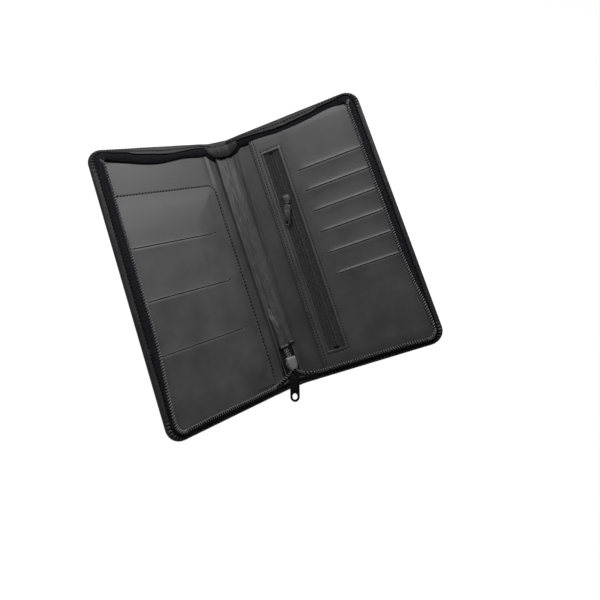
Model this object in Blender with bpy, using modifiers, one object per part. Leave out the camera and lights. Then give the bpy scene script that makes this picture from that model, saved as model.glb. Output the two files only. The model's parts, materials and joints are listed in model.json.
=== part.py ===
"""Zip-around passport and travel document holder, open at rest. Metres, +Z up.

The front cover lies flat with its outer face on z = 0 and the origin at the middle of that face.
The spine leans up from the front cover's right edge and the back cover leans up from the spine.
Each of the three has a frame empty on its fold axis. In a frame, x runs away from that axis,
y along the holder and z from the outer face inwards.
"""

import bpy
import bmesh
from math import cos, pi, radians, sin
from mathutils import Matrix, Vector

MM = 0.001

# The holder closed is HEIGHT x COVER_WIDTH x (SPINE_WIDTH + SKIN).
HEIGHT = 230.0
COVER_WIDTH = 126.0
SPINE_WIDTH = 20.0
CORNER_RADIUS = 12.0
SPINE_LEAN = 24.0
COVER_LEAN = 60.0

# Thicknesses and the gap that neighbouring solids keep.
SKIN = 1.2
BOARD = 1.5
LINING = 0.6
SHEET = 0.6
GAP = 0.3
FOLD_AXIS = SKIN / 2
HALF_HEIGHT = HEIGHT / 2
FOLD_CLEARANCE = 1.0

# Heights of the layers above a cover's outer face.
BOARD_Z = SKIN + GAP
LINING_Z = BOARD_Z + BOARD + GAP
LINER_Z = LINING_Z + LINING + GAP
POCKET_Z = LINER_Z + 0.4 + GAP

# Edge wall of a cover: the skin's round edge and rim, and the zip coil along the top of the wall.
EDGE_RADIUS = 3.6
BOARD_INSET = 4.6
LINING_INSET = 6.4
RIM_TOP = 6.4
COIL_IN = 6.9
COIL_Z = 9.35
COIL_RADIUS = 0.95
WALL_START = 8.5

# Front pockets: three slit mouths in one stitched panel.
POCKET_TOP = 77.0
POCKET_START = 8.5
SLIT_LEVELS = (31.5, -11.0, -53.0)
SLIT_END = 27.0
SLIT_WIDTH = 0.8
SLIT_HOLE = 1.5

# Back cover: zip pocket beside the spine, card slots beyond it.
ZIP_PANEL_START = 20.5
ZIP_LINE = 38.0
WINDOW_WIDTH = 15.0
WINDOW_TOP = 89.0
WINDOW_BOTTOM = -95.0
ZIP_PANEL_END = 52.5
CARD_TOP = 63.0
CARD_PITCH = 19.5
CARD_SLOTS = 6
CARD_OVERLAP = 10.5
CARD_START = 54.0
INNER_TAPE_Z = 4.9

# Sliders: where they stand (x, y in their frame) and how far their pulls are turned.
TAIL_LINE = 9.9
TAIL_END = -80.0
MAIN_SLIDER = (11.6, -95.8)
INNER_SLIDER = (ZIP_LINE, 42.0)
PULL_YAW = 19.3


def clear_scene():
    for obj in list(bpy.data.objects):
        bpy.data.objects.remove(obj, do_unlink=True)


def new_collection(name):
    collection = bpy.data.collections.new(name)
    bpy.context.scene.collection.children.link(collection)
    return collection


clear_scene()
HOLDER = new_collection("passport_holder")
CUTTERS = new_collection("cutters")


def material(name, color, roughness, metallic=0.0):
    mat = bpy.data.materials.new(name)
    mat.use_nodes = True
    shader = mat.node_tree.nodes["Principled BSDF"]
    shader.inputs["Base Color"].default_value = (*color, 1.0)
    shader.inputs["Roughness"].default_value = roughness
    shader.inputs["Metallic"].default_value = metallic
    return mat


COVER_LEATHER = material("cover_leather", (0.030, 0.030, 0.032), 0.45)
LINING_LEATHER = material("lining_leather", (0.055, 0.055, 0.057), 0.50)
POCKET_LEATHER = material("pocket_leather", (0.062, 0.062, 0.064), 0.48)
BOARD_CARD = material("board_card", (0.36, 0.33, 0.28), 0.90)
TAPE_CLOTH = material("zip_tape", (0.018, 0.018, 0.019), 0.85)
COIL_NYLON = material("zip_coil", (0.040, 0.040, 0.042), 0.40)
SLIDER_METAL = material("slider_metal", (0.52, 0.52, 0.53), 0.32, 1.0)
PULL_METAL = material("pull_metal", (0.030, 0.030, 0.032), 0.38, 0.6)


def frame_empty(name, parent, x, lean):
    """An empty on a fold axis. Its z = 0 is the axis, which runs at mid-thickness of the outer skin."""
    empty = bpy.data.objects.new(name, None)
    HOLDER.objects.link(empty)
    empty.parent = parent
    empty.location = (x * MM, 0, 0)
    empty.rotation_euler = (0, -radians(lean), 0)
    return empty


BASE = bpy.data.objects.new("base_frame", None)
HOLDER.objects.link(BASE)
BASE.location = (COVER_WIDTH / 2 * MM, 0, FOLD_AXIS * MM)
FRONT = frame_empty("front_frame", BASE, 0, 0)
SPINE = frame_empty("spine_frame", BASE, 0, SPINE_LEAN)
BACK = frame_empty("back_frame", SPINE, SPINE_WIDTH, COVER_LEAN - SPINE_LEAN)
SIDE = {FRONT: -1, SPINE: 1, BACK: 1}


def add_object(name, data, frame, mat, location=(0, 0, 0)):
    """Links an object to a frame. Its z counts from the outer face, so the fold axis height comes off."""
    obj = bpy.data.objects.new(name, data)
    HOLDER.objects.link(obj)
    obj.parent = frame
    x, y, z = location
    obj.location = (x * MM, y * MM, (z - FOLD_AXIS) * MM)
    if mat:
        data.materials.append(mat)
    return obj


def as_cutter(obj):
    HOLDER.objects.unlink(obj)
    CUTTERS.objects.link(obj)
    obj.hide_render = True
    obj.display_type = "WIRE"
    return obj


def boolean(obj, cutter, operation="DIFFERENCE"):
    if cutter.name not in CUTTERS.objects:
        as_cutter(cutter)
    modifier = obj.modifiers.new(operation.lower(), "BOOLEAN")
    modifier.operation = operation
    modifier.solver = "EXACT"
    modifier.object = cutter
    return obj


def box(name, frame, x_range, y_range, z_range, mat=None):
    """A box between two x, two y and two z values of its frame."""
    ranges = (x_range, y_range, z_range)
    size = [abs(high - low) for low, high in ranges]
    centre = [(low + high) / 2 for low, high in ranges]
    mesh = bpy.data.meshes.new(name)
    shape = bmesh.new()
    bmesh.ops.create_cube(shape, size=1.0, matrix=Matrix.Diagonal((*[s * MM for s in size], 1)))
    shape.to_mesh(mesh)
    shape.free()
    return add_object(name, mesh, frame, mat, centre)


def cylinder(name, frame, radius, length, location, axis, mat=None, segments=16):
    """A cylinder through a point of its frame, along a direction of that frame."""
    mesh = bpy.data.meshes.new(name)
    shape = bmesh.new()
    turn = Vector((0, 0, 1)).rotation_difference(Vector(axis)).to_matrix().to_4x4()
    bmesh.ops.create_cone(
        shape,
        cap_ends=True,
        segments=segments,
        radius1=radius * MM,
        radius2=radius * MM,
        depth=length * MM,
        matrix=turn,
    )
    shape.to_mesh(mesh)
    shape.free()
    return add_object(name, mesh, frame, mat, location)


def arc(centre, radius, start, end, steps):
    """Points on a circle from one angle to another, in degrees."""
    cx, cy = centre
    angles = [radians(start + (end - start) * i / steps) for i in range(steps + 1)]
    return [(cx + radius * cos(a), cy + radius * sin(a)) for a in angles]


def to_mesh(obj):
    """The curve object as a mesh object of the same name, with its caps welded."""
    bpy.context.view_layer.update()
    evaluated = obj.evaluated_get(bpy.context.evaluated_depsgraph_get())
    mesh = bpy.data.meshes.new_from_object(evaluated)
    shape = bmesh.new()
    shape.from_mesh(mesh)
    bmesh.ops.remove_doubles(shape, verts=shape.verts, dist=0.00001)
    bmesh.ops.recalc_face_normals(shape, faces=shape.faces)
    shape.to_mesh(mesh)
    shape.free()
    name, parent = obj.name, obj.parent
    location, rotation = obj.location.copy(), obj.rotation_euler.copy()
    bpy.data.objects.remove(obj, do_unlink=True)
    result = bpy.data.objects.new(name, mesh)
    HOLDER.objects.link(result)
    result.parent = parent
    result.location = location
    result.rotation_euler = rotation
    return result


def spline(curve, points, closed=True):
    line = curve.splines.new("POLY")
    line.points.add(len(points) - 1)
    for point, place in zip(line.points, points):
        point.co = (*[value * MM for value in (*place, 0)[:3]], 1)
    line.use_cyclic_u = closed
    return line


def sheet(name, frame, outlines, z_range, mat=None, location=(0, 0)):
    """A flat sheet: filled outlines (x, y), the first outside and the rest holes, between two heights."""
    low, high = z_range
    curve = bpy.data.curves.new(name, "CURVE")
    curve.dimensions = "2D"
    curve.fill_mode = "BOTH"
    curve.extrude = (high - low) / 2 * MM
    for outline in outlines:
        spline(curve, outline)
    return add_object(name, curve, frame, mat, (*location, (low + high) / 2))


def tube(name, frame, radius, points, mat):
    """A round bar along points (x, y, z) of its frame."""
    curve = bpy.data.curves.new(name, "CURVE")
    curve.dimensions = "3D"
    curve.bevel_depth = radius * MM
    curve.bevel_resolution = 2
    curve.use_fill_caps = True
    spline(curve, points, closed=False)
    return add_object(name, curve, frame, mat)


def cover_outline(side, inset, start):
    """A cover's outline pulled in by inset, with round corners on the side away from the fold."""
    far = COVER_WIDTH - inset
    end = HALF_HEIGHT - inset
    radius = max(CORNER_RADIUS - inset, 1.0)
    points = [(start, -end)]
    points += arc((far - radius, -end + radius), radius, -90, 0, 8)
    points += arc((far - radius, end - radius), radius, 0, 90, 8)
    points += [(start, end)]
    return [(side * x, y) for x, y in points]


def edge_sweep(name, frame, section, mat):
    """Carries a closed section (distance in from the edge, height) round a cover's three free edges."""
    side = SIDE[frame]
    profile = bpy.data.curves.new(name + "_section", "CURVE")
    profile.dimensions = "2D"
    base = max(inset for inset, _ in section)
    spline(profile, [(side * (base - inset), height) for inset, height in section])
    profile_object = add_object(name + "_section", profile, frame, None)
    path = bpy.data.curves.new(name, "CURVE")
    path.dimensions = "2D"
    path.bevel_mode = "OBJECT"
    path.bevel_object = profile_object
    path.use_fill_caps = True
    spline(path, cover_outline(side, base, FOLD_CLEARANCE), closed=False)
    swept = to_mesh(add_object(name, path, frame, None))
    swept.data.materials.clear()
    swept.data.materials.append(mat)
    bpy.data.objects.remove(profile_object, do_unlink=True)
    return swept


def cover_skin(name, frame, rows):
    """The flat outer face with its three free edges drawn up through rows (distance in, height)."""
    side = SIDE[frame]
    shape = bmesh.new()
    inset, height = rows[0]
    outline = cover_outline(side, inset, FOLD_CLEARANCE)
    ring = [shape.verts.new((x * MM, y * MM, height * MM)) for x, y in outline]
    face = shape.faces.new(ring)
    edges = [edge for edge in face.edges if {*edge.verts} != {ring[0], ring[-1]}]
    for inset, height in rows[1:]:
        made = bmesh.ops.extrude_edge_only(shape, edges=edges)["geom"]
        edges = [item for item in made if isinstance(item, bmesh.types.BMEdge)]
        edges = [edge for edge in edges if not {*edge.verts} & {*ring}]
        places = cover_outline(side, inset, FOLD_CLEARANCE)
        below = {vert: place for vert, place in zip(ring, places)}
        above = {}
        for vert in {vert for edge in edges for vert in edge.verts}:
            source = next(other for edge in vert.link_edges for other in edge.verts if other in below)
            x, y = below[source]
            above[source] = vert
            vert.co = (x * MM, y * MM, height * MM)
        ring = [above[vert] for vert in ring]
    bmesh.ops.recalc_face_normals(shape, faces=shape.faces)
    mesh = bpy.data.meshes.new(name)
    shape.to_mesh(mesh)
    shape.free()
    skin = add_object(name, mesh, frame, COVER_LEATHER)
    thick = skin.modifiers.new("thickness", "SOLIDIFY")
    thick.thickness = SKIN * MM
    thick.offset = -1.0 if side_down(mesh) else 1.0
    thick.use_even_offset = True
    return skin


def side_down(mesh):
    """Whether the flat face of a cover skin looks down, out of the holder."""
    return max(mesh.polygons, key=lambda face: face.area).normal.z < 0


def open_beside_spine(obj, frame):
    """Cuts a wall back to the 45 degree plane at the fold, and further where the main pull hangs out."""
    side = SIDE[frame]
    reach = 30.0
    wedge = box(obj.name + "_mitre", frame, (-reach, reach), (-130, 130), (0, reach))
    wedge.location = (side * 0.35 * MM, 0, 0)
    wedge.rotation_euler = (0, -side * radians(45), 0)
    wedge.data.transform(Matrix.Translation((0, 0, reach / 2 * MM)))
    boolean(obj, wedge)
    notch = box(obj.name + "_notch", frame, (0, side * WALL_START), (-130, -100), (BOARD_Z, 20))
    boolean(obj, notch)


def cover(frame, prefix):
    """Outer skin with its turned-up rim, the board in it, the lining, and the zip tape and coil."""
    side = SIDE[frame]
    rows = [(EDGE_RADIUS - x, EDGE_RADIUS + z) for x, z in arc((0, 0), EDGE_RADIUS, -90, 0, 5)]
    rows += [(0.5, 5.2), (1.3, RIM_TOP)]
    open_beside_spine(cover_skin(prefix + "_cover_shell", frame, rows), frame)

    board_outline = cover_outline(side, BOARD_INSET, 4.5)
    sheet(prefix + "_cover_board", frame, [board_outline], (BOARD_Z, BOARD_Z + BOARD), BOARD_CARD)
    lining_outline = cover_outline(side, LINING_INSET, 3.5)
    sheet(prefix + "_lining", frame, [lining_outline], (LINING_Z, LINING_Z + LINING), LINING_LEATHER)

    tape = [(2.5, 4.6), (3.1, 6.8), (5.2, 9.0), (5.6, 8.55), (3.7, 6.5), (3.1, 4.5)]
    open_beside_spine(edge_sweep(prefix + "_zip_tape", frame, tape, TAPE_CLOTH), frame)
    bead = arc((COIL_IN, COIL_Z), COIL_RADIUS, 0, 315, 7)
    open_beside_spine(edge_sweep(prefix + "_zip_coil", frame, bead, COIL_NYLON), frame)


cover(FRONT, "front")
cover(BACK, "back")


def front_pockets():
    """One stitched panel with three slit mouths, and a liner sheet behind each mouth."""
    far = COVER_WIDTH - 5.2
    bottom = -HALF_HEIGHT + 5.2
    radius = 8.0
    outline = [(-POCKET_START, bottom)]
    outline += [(-POCKET_START, POCKET_TOP - radius)]
    outline += [(-POCKET_START - radius + x, y) for x, y in arc((0, POCKET_TOP - radius), radius, 0, 90, 6)]
    outline += [(-far, POCKET_TOP), (-far, bottom + radius)]
    outline += arc((-far + radius, bottom + radius), radius, 180, 270, 6)
    holes = []
    for level in SLIT_LEVELS:
        low, high = level - SLIT_WIDTH / 2, level + SLIT_WIDTH / 2
        mouth = [(-far + 6, high), (-far + 6, low), (-SLIT_END - SLIT_HOLE, low)]
        mouth += arc((-SLIT_END, level), SLIT_HOLE, -150, 150, 8)
        mouth += [(-SLIT_END - SLIT_HOLE, high)]
        holes.append(mouth)
    sheet("front_pocket_panel", FRONT, [outline, *holes], (POCKET_Z, POCKET_Z + SHEET), POCKET_LEATHER)
    ends = [level + 4 for level in SLIT_LEVELS] + [bottom + 4]
    for number, (top, end) in enumerate(zip(ends, ends[1:]), 1):
        box(
            f"front_pocket_liner_{number}",
            FRONT,
            (-far + 1.5, -POCKET_START - 4),
            (end + 0.5, top),
            (LINER_Z, LINER_Z + 0.4),
            LINING_LEATHER,
        )


front_pockets()


def spine():
    """Skin and lining between the two folds, and the low crescent gussets at its ends."""
    far = SPINE_WIDTH - FOLD_CLEARANCE
    box("spine_shell", SPINE, (FOLD_CLEARANCE, far), (-HALF_HEIGHT, HALF_HEIGHT), (0, SKIN), COVER_LEATHER)
    reach = HALF_HEIGHT - 5
    lining_range = (SKIN + GAP, SKIN + GAP + LINING)
    box("spine_lining", SPINE, (2.2, SPINE_WIDTH - 2.2), (-reach, reach), lining_range, LINING_LEATHER)
    for name, end, height in (("spine_top_gusset", 1, 5.2), ("spine_bottom_gusset", -1, 4.2)):
        steps = 10
        crest = [(1.8 + (SPINE_WIDTH - 3.6) * i / steps) for i in range(steps + 1)]
        low = SKIN + GAP
        arch = [sin(pi * (x - 1.8) / (SPINE_WIDTH - 3.6)) ** 0.8 for x in crest]
        outline = [(x, low + 0.1 + (height - low) * rise) for x, rise in zip(crest, arch)]
        outline += [(SPINE_WIDTH - 1.8, low), (1.8, low)]
        gusset = sheet(name, SPINE, [outline], (-0.4, 0.4), COVER_LEATHER)
        gusset.location = (0, end * (HALF_HEIGHT - 2.6) * MM, -FOLD_AXIS * MM)
        gusset.rotation_euler = (pi / 2, 0, 0)


spine()


def zip_tail():
    """The closed end of the main zip on the spine, under its leather tab, and the two halves leaving it."""
    x, y = MAIN_SLIDER
    line = TAIL_LINE
    chain_y = (y + 4.6, TAIL_END + 6)
    box("zip_tail_tape", SPINE, (line - 6, line + 6), chain_y, (4.4, 4.8), TAPE_CLOTH)
    box("zip_tail_chain", SPINE, (line - 2.4, line + 2.4), chain_y, (5.1, 5.5), COIL_NYLON)
    box("zip_tail_tab", SPINE, (line - 3.9, line + 3.9), (TAIL_END + 2.4, -36), (5.9, 6.7), LINING_LEATHER)
    bar_points = [(line - 4.2, TAIL_END + 0.9, 6.75), (line + 4.2, TAIL_END + 0.9, 6.75)]
    tube("zip_tail_binding", SPINE, 0.9, bar_points, LINING_LEATHER)
    start = y - 7.6
    for name, side in (("zip_branch_front", -1), ("zip_branch_back", 1)):
        route = [
            (x + side * 1.6, start, 4.9),
            (x + side * 2.8, start - 2.0, 4.6),
            (x + side * 3.8, start - 3.4, 4.1),
            (x + side * 4.6, start - 4.2, 3.4),
        ]
        tube(name, SPINE, 0.8, route, COIL_NYLON)


zip_tail()


def zip_pocket():
    """Panel with the zip window, the two tapes, the coil halves and their stops."""
    low, high = -HALF_HEIGHT + 5.2, HALF_HEIGHT - 5.2
    left, right = ZIP_LINE - WINDOW_WIDTH / 2, ZIP_LINE + WINDOW_WIDTH / 2
    outline = [(ZIP_PANEL_START, low), (ZIP_PANEL_END, low), (ZIP_PANEL_END, high), (ZIP_PANEL_START, high)]
    window = [(left, WINDOW_BOTTOM), (left, WINDOW_TOP), (right, WINDOW_TOP), (right, WINDOW_BOTTOM)]
    panel_z = INNER_TAPE_Z + 0.4 + GAP
    sheet("zip_pocket_panel", BACK, [outline, window], (panel_z, panel_z + SHEET), POCKET_LEATHER)
    for name, side in (("inner_zip_tape_left", -1), ("inner_zip_tape_right", 1)):
        x_range = sorted((ZIP_LINE + side * 2.2, ZIP_LINE + side * (WINDOW_WIDTH / 2 + 4)))
        y_range = (WINDOW_BOTTOM - 4, WINDOW_TOP + 4)
        box(name, BACK, x_range, y_range, (INNER_TAPE_Z, INNER_TAPE_Z + 0.4), TAPE_CLOTH)
    for name, side in (("inner_zip_coil_left", -1), ("inner_zip_coil_right", 1)):
        x_range = sorted((ZIP_LINE + side * 0.9, ZIP_LINE + side * 1.9))
        y_range = (WINDOW_BOTTOM + 3, WINDOW_TOP - 3)
        box(name, BACK, x_range, y_range, (INNER_TAPE_Z - 0.1, INNER_TAPE_Z + 0.9), COIL_NYLON)
    for name, y in (("inner_zip_top_stop", WINDOW_TOP - 1.6), ("inner_zip_bottom_stop", WINDOW_BOTTOM + 1.6)):
        x_range = (ZIP_LINE - 1.9, ZIP_LINE + 1.9)
        z_range = (INNER_TAPE_Z + 0.4 + GAP, INNER_TAPE_Z + 1.7)
        box(name, BACK, x_range, (y - 1.0, y + 1.0), z_range, SLIDER_METAL)


zip_pocket()


def card_slots():
    """Overlapping tiers, each tilted so that its mouth stands in front of the tier above."""
    far = COVER_WIDTH - 6.0
    depth = CARD_PITCH + CARD_OVERLAP
    rise = 1.5
    for number in range(1, CARD_SLOTS + 1):
        top = CARD_TOP - (number - 1) * CARD_PITCH
        length = depth if number < CARD_SLOTS else top + HALF_HEIGHT - 6.5
        tier = box(
            f"card_slot_tier_{number}",
            BACK,
            (CARD_START, far),
            (top - length, top),
            (LINER_Z + rise / 2, LINER_Z + rise / 2 + SHEET),
            POCKET_LEATHER,
        )
        tier.rotation_euler = (rise / length, 0, 0)


card_slots()


def slider(prefix, frame, place, base, size):
    """A zip slider: two plates joined by a wedge, open at the sides for the tapes, and a cap on top."""
    x, y = place
    width, length, plate, channel, cap_height = size
    half = width / 2
    nose = y - length / 2
    top = base + 2 * plate + channel
    outline = [(x - half * 0.8, y + length / 2), (x - half, y + length * 0.15)]
    outline += [(x - half * 0.8, y - length * 0.25), (x - half * 0.45, nose)]
    outline += [(2 * x - px, py) for px, py in reversed(outline)]
    body = to_mesh(sheet(prefix + "_slider_body", frame, [outline], (base, top)))
    body.data.materials.append(SLIDER_METAL)
    channel_z = (base + plate, base + plate + channel)
    boolean(body, box(prefix + "_channel", frame, (x - 40, x + 40), (y - length, y + length), channel_z))
    post = box(
        prefix + "_post",
        frame,
        (x - 0.5, x + 0.5),
        (nose + 1.0, nose + 3.0),
        (channel_z[0] - 0.3, channel_z[1] + 0.3),
    )
    boolean(body, post, "UNION")
    cap = sheet(prefix + "_cap", frame, [outline], (top - 0.3, top + cap_height))
    boolean(body, to_mesh(cap), "UNION")
    return body


def pull_frame(name, frame, place, height, yaw):
    """An empty on a pull's pin: its x is the pin, its -y the way the pull hangs."""
    empty = bpy.data.objects.new(name, None)
    HOLDER.objects.link(empty)
    empty.parent = frame
    x, y = place
    empty.location = (x * MM, y * MM, (height - FOLD_AXIS) * MM)
    empty.rotation_euler = (0, 0, -radians(yaw))
    return empty


def pull(prefix, frame, length, width, hole, thickness):
    """The pull: a plate with a round end and a finger hole, on a small barrel round the slider's pin."""
    half = width / 2
    end = -length + half
    outline = [(-1.1, -0.9), (-1.1, -2.6), (-half * 0.8, -4.2), (-half, -6.0)]
    outline += arc((0, end), half, 180, 360, 12)
    outline += [(-px, py) for px, py in reversed(outline[:4])]
    hole_width, hole_length = hole
    reach = (hole_length - hole_width) / 2
    middle = end - reach * 0.2
    opening = arc((0, middle - reach), hole_width / 2, 180, 360, 10)
    opening += arc((0, middle + reach), hole_width / 2, 0, 180, 10)
    z_range = (FOLD_AXIS - thickness / 2, FOLD_AXIS + thickness / 2)
    plate = to_mesh(sheet(prefix + "_puller", frame, [outline, opening], z_range))
    plate.data.materials.append(PULL_METAL)
    barrel = cylinder(prefix + "_barrel", frame, 1.1, 2.6, (0, 0, FOLD_AXIS), (1, 0, 0))
    boolean(plate, barrel, "UNION")
    bore = cylinder(prefix + "_bore", frame, 0.75, 6, (0, 0, FOLD_AXIS), (1, 0, 0))
    boolean(plate, bore)
    return plate


def slider_and_pull(prefix, frame, place, base, size, pull_size, pin_rise):
    """Fits a pull to a slider: on a pin in a notch of a high cap, or between two lugs on a low cap."""
    _, length, plate, channel, cap_height = size
    body = slider(prefix, frame, place, base, size)
    pin_height = base + 2 * plate + channel + pin_rise
    pin_place = (place[0], place[1] - length / 2 + 1.6)
    pivot = pull_frame(prefix + "_pull_frame", frame, pin_place, pin_height, PULL_YAW)
    if pin_rise < cap_height:
        notch = box(prefix + "_notch", pivot, (-1.7, 1.7), (-4.0, 1.6), (FOLD_AXIS - 1.45, FOLD_AXIS + 4))
        boolean(body, notch)
    else:
        foot = FOLD_AXIS - pin_rise + cap_height - 0.3
        for side in (-1, 1):
            x_range = sorted((side * 1.65, side * 2.35))
            lug = box(f"{prefix}_lug_{side}", pivot, x_range, (-0.6, 0.6), (foot, FOLD_AXIS + 0.6))
            boolean(body, lug, "UNION")
    pin = cylinder(prefix + "_pin", pivot, 0.42, 4.2, (0, 0, FOLD_AXIS), (1, 0, 0))
    boolean(body, pin, "UNION")
    return pull(prefix, pivot, *pull_size)


# Slider sizes: width, length, plate, channel, cap.
# Pull sizes: length, width, hole (across, along), thickness.
MAIN_SIZE = (9.0, 12.6, 0.8, 1.7, 2.2)
MAIN_PULL = (27.0, 8.0, (5.4, 6.0), 1.2)
INNER_SIZE = (6.6, 9.4, 0.45, 1.5, 0.8)
INNER_PULL = (21.0, 6.0, (3.2, 3.2), 1.1)
slider_and_pull("main", SPINE, MAIN_SLIDER, 3.3, MAIN_SIZE, MAIN_PULL, 1.32)
slider_and_pull("inner", BACK, INNER_SLIDER, 4.2, INNER_SIZE, INNER_PULL, 2.3)
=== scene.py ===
"""Zip-around passport and travel document holder, lying open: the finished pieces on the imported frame."""

import json
from math import atan2, ceil, cos, exp, hypot, pi, radians, sin, sqrt, tan

import bmesh
import bpy
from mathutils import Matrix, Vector, noise


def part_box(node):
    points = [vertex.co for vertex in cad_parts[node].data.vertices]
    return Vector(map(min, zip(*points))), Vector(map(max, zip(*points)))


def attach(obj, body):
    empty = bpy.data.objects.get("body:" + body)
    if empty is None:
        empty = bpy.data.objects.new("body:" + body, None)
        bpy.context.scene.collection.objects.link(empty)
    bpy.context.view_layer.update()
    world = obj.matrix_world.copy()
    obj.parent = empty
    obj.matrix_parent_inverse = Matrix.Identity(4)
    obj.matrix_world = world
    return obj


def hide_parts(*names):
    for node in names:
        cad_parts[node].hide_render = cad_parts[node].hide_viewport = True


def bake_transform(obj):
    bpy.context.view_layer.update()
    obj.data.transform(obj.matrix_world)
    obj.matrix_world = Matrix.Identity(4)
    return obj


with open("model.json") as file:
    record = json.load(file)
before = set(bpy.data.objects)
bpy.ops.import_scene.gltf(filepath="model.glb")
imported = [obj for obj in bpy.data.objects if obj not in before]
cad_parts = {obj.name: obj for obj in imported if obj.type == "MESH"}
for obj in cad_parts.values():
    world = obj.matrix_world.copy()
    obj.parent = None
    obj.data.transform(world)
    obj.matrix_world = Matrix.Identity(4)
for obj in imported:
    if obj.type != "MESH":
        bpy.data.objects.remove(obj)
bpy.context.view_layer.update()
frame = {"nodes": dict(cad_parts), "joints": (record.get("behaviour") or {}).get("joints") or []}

# ---------------------------------------------------------------------------------------------
# The table and the studio. A white sweep under two wide soft lights, one past the head of the
# holder and a weaker one to its left, in a white room, so that black leather shows its sheen.
MM = 0.001

scene = bpy.context.scene
scene.view_settings.view_transform = "Standard"
ROOM_LIGHT = 0.13


def camera_strength(tree, for_light, for_camera):
    """A strength with one value for the light that falls on things and one for what the camera sees."""
    rays = tree.nodes.new("ShaderNodeLightPath")
    strength = tree.nodes.new("ShaderNodeMapRange")
    strength.inputs["To Min"].default_value = for_light
    strength.inputs["To Max"].default_value = for_camera
    tree.links.new(rays.outputs["Is Camera Ray"], strength.inputs["Value"])
    return strength.outputs["Result"]


world = bpy.data.worlds.new("white_room")
world.use_nodes = True
room = world.node_tree.nodes["Background"]
room.inputs["Color"].default_value = (1.0, 1.0, 1.0, 1.0)
world.node_tree.links.new(camera_strength(world.node_tree, ROOM_LIGHT, 1.0), room.inputs["Strength"])
scene.world = world


def soft_light(name, place, aim, size, power):
    """A square area light at a place, turned to a point, all in metres and watts."""
    data = bpy.data.lights.new(name, "AREA")
    data.size = size
    data.energy = power
    light = bpy.data.objects.new(name, data)
    light.location = place
    light.rotation_euler = (Vector(aim) - Vector(place)).to_track_quat("-Z", "Y").to_euler()
    scene.collection.objects.link(light)
    return light


soft_light("head_light", (0.28, 0.46, 0.58), (0.03, 0.0, 0.0), 0.45, 5.1)
soft_light("left_light", (-0.42, 0.55, 0.42), (0.13, 0.06, 0.06), 0.40, 4.8)

camera_data = bpy.data.cameras.new("camera")
camera_data.sensor_width = 36.0
camera_data.lens = 38.10
camera_data.shift_x = 0.0537
camera_data.shift_y = -0.1667
camera = bpy.data.objects.new("camera", camera_data)
camera.location = (-0.32784, -0.04272, 0.41577)
camera.rotation_euler = (radians(26.4538), radians(-41.3350), radians(-24.6673))
scene.collection.objects.link(camera)
scene.camera = camera


def link(name, mesh, finish=None):
    """A mesh as an object of the scene, with its material and smooth faces."""
    obj = bpy.data.objects.new(name, mesh)
    scene.collection.objects.link(obj)
    if finish:
        mesh.materials.append(finish)
    mesh.shade_smooth()
    return obj


def mesh_of(name, points, faces):
    """A mesh from points in metres and faces as lists of point numbers."""
    mesh = bpy.data.meshes.new(name)
    mesh.from_pydata(points, [], faces)
    mesh.update()
    return mesh


def band_faces(steps, across):
    """Faces of a grid of points, across + 1 of them at each of steps + 1 stations."""
    row = across + 1
    return [
        (i * row + j, (i + 1) * row + j, (i + 1) * row + j + 1, i * row + j + 1)
        for i in range(steps)
        for j in range(across)
    ]


def ring_faces(rings, count, closed=False):
    """Faces between rings of count points each, and from the last ring to the first if closed."""
    faces = []
    for r in range(rings if closed else rings - 1):
        after = (r + 1) % rings
        for i in range(count):
            j = (i + 1) % count
            faces.append((r * count + i, r * count + j, after * count + j, after * count + i))
    return faces


def end_faces(rings, count):
    """The two faces that close a row of rings."""
    return [list(range(count - 1, -1, -1)), [(rings - 1) * count + i for i in range(count)]]


table_white = bpy.data.materials.new("table_white")
table_white.use_nodes = True
table_shader = table_white.node_tree.nodes["Principled BSDF"]
table_shader.inputs["Base Color"].default_value = (0.10, 0.10, 0.10, 1.0)
table_shader.inputs["Roughness"].default_value = 1.0
table_shader.inputs["Specular IOR Level"].default_value = 0.0
table_shader.inputs["Emission Color"].default_value = (1.0, 1.0, 1.0, 1.0)
table_glow = camera_strength(table_white.node_tree, 0.35, 0.98)
table_white.node_tree.links.new(table_glow, table_shader.inputs["Emission Strength"])

HALF_TABLE = 3.0
TABLE_LEVEL = -0.0004
table_ways = ((-1, -1), (1, -1), (1, 1), (-1, 1))
table_corners = [(x * HALF_TABLE, y * HALF_TABLE, TABLE_LEVEL) for x, y in table_ways]
table = link("table", mesh_of("table", table_corners, [(0, 1, 2, 3)]), table_white)

# ---------------------------------------------------------------------------------------------
# Outer skin. One piece of black artificial leather runs over both covers and the spine, and is
# turned up round the free edges into a rim. It is made here as two halves that meet at mid-spine.
FRONT_FOLD, BACK_FOLD = [Vector(joint["pos_m"]) / MM for joint in frame["joints"][:2]]
FOLD_HEIGHT = FRONT_FOLD.z
HALF_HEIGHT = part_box("front_cover_shell")[1].y / MM
COVER_WIDTH = FRONT_FOLD.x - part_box("front_cover_shell")[0].x / MM
SPINE_WIDTH = round(hypot(BACK_FOLD.x - FRONT_FOLD.x, BACK_FOLD.z - FRONT_FOLD.z), 2)
SPINE_LEAN = atan2(BACK_FOLD.z - FRONT_FOLD.z, BACK_FOLD.x - FRONT_FOLD.x)
COVER_LEAN = radians(60)
BEND = 3.0
MID_SPINE = SPINE_WIDTH / 2
CORNER = 12.0
RIM_RADIUS = 3.6
RIM_HEIGHT = 6.5
RIM_CREST = 1.5
REACH = COVER_WIDTH + MID_SPINE
STRAIGHT = REACH - CORNER
QUARTER = CORNER * pi / 2
UPRIGHT = 2 * (HALF_HEIGHT - CORNER)
RIM_LENGTH = 2 * STRAIGHT + 2 * QUARTER + UPRIGHT


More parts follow.
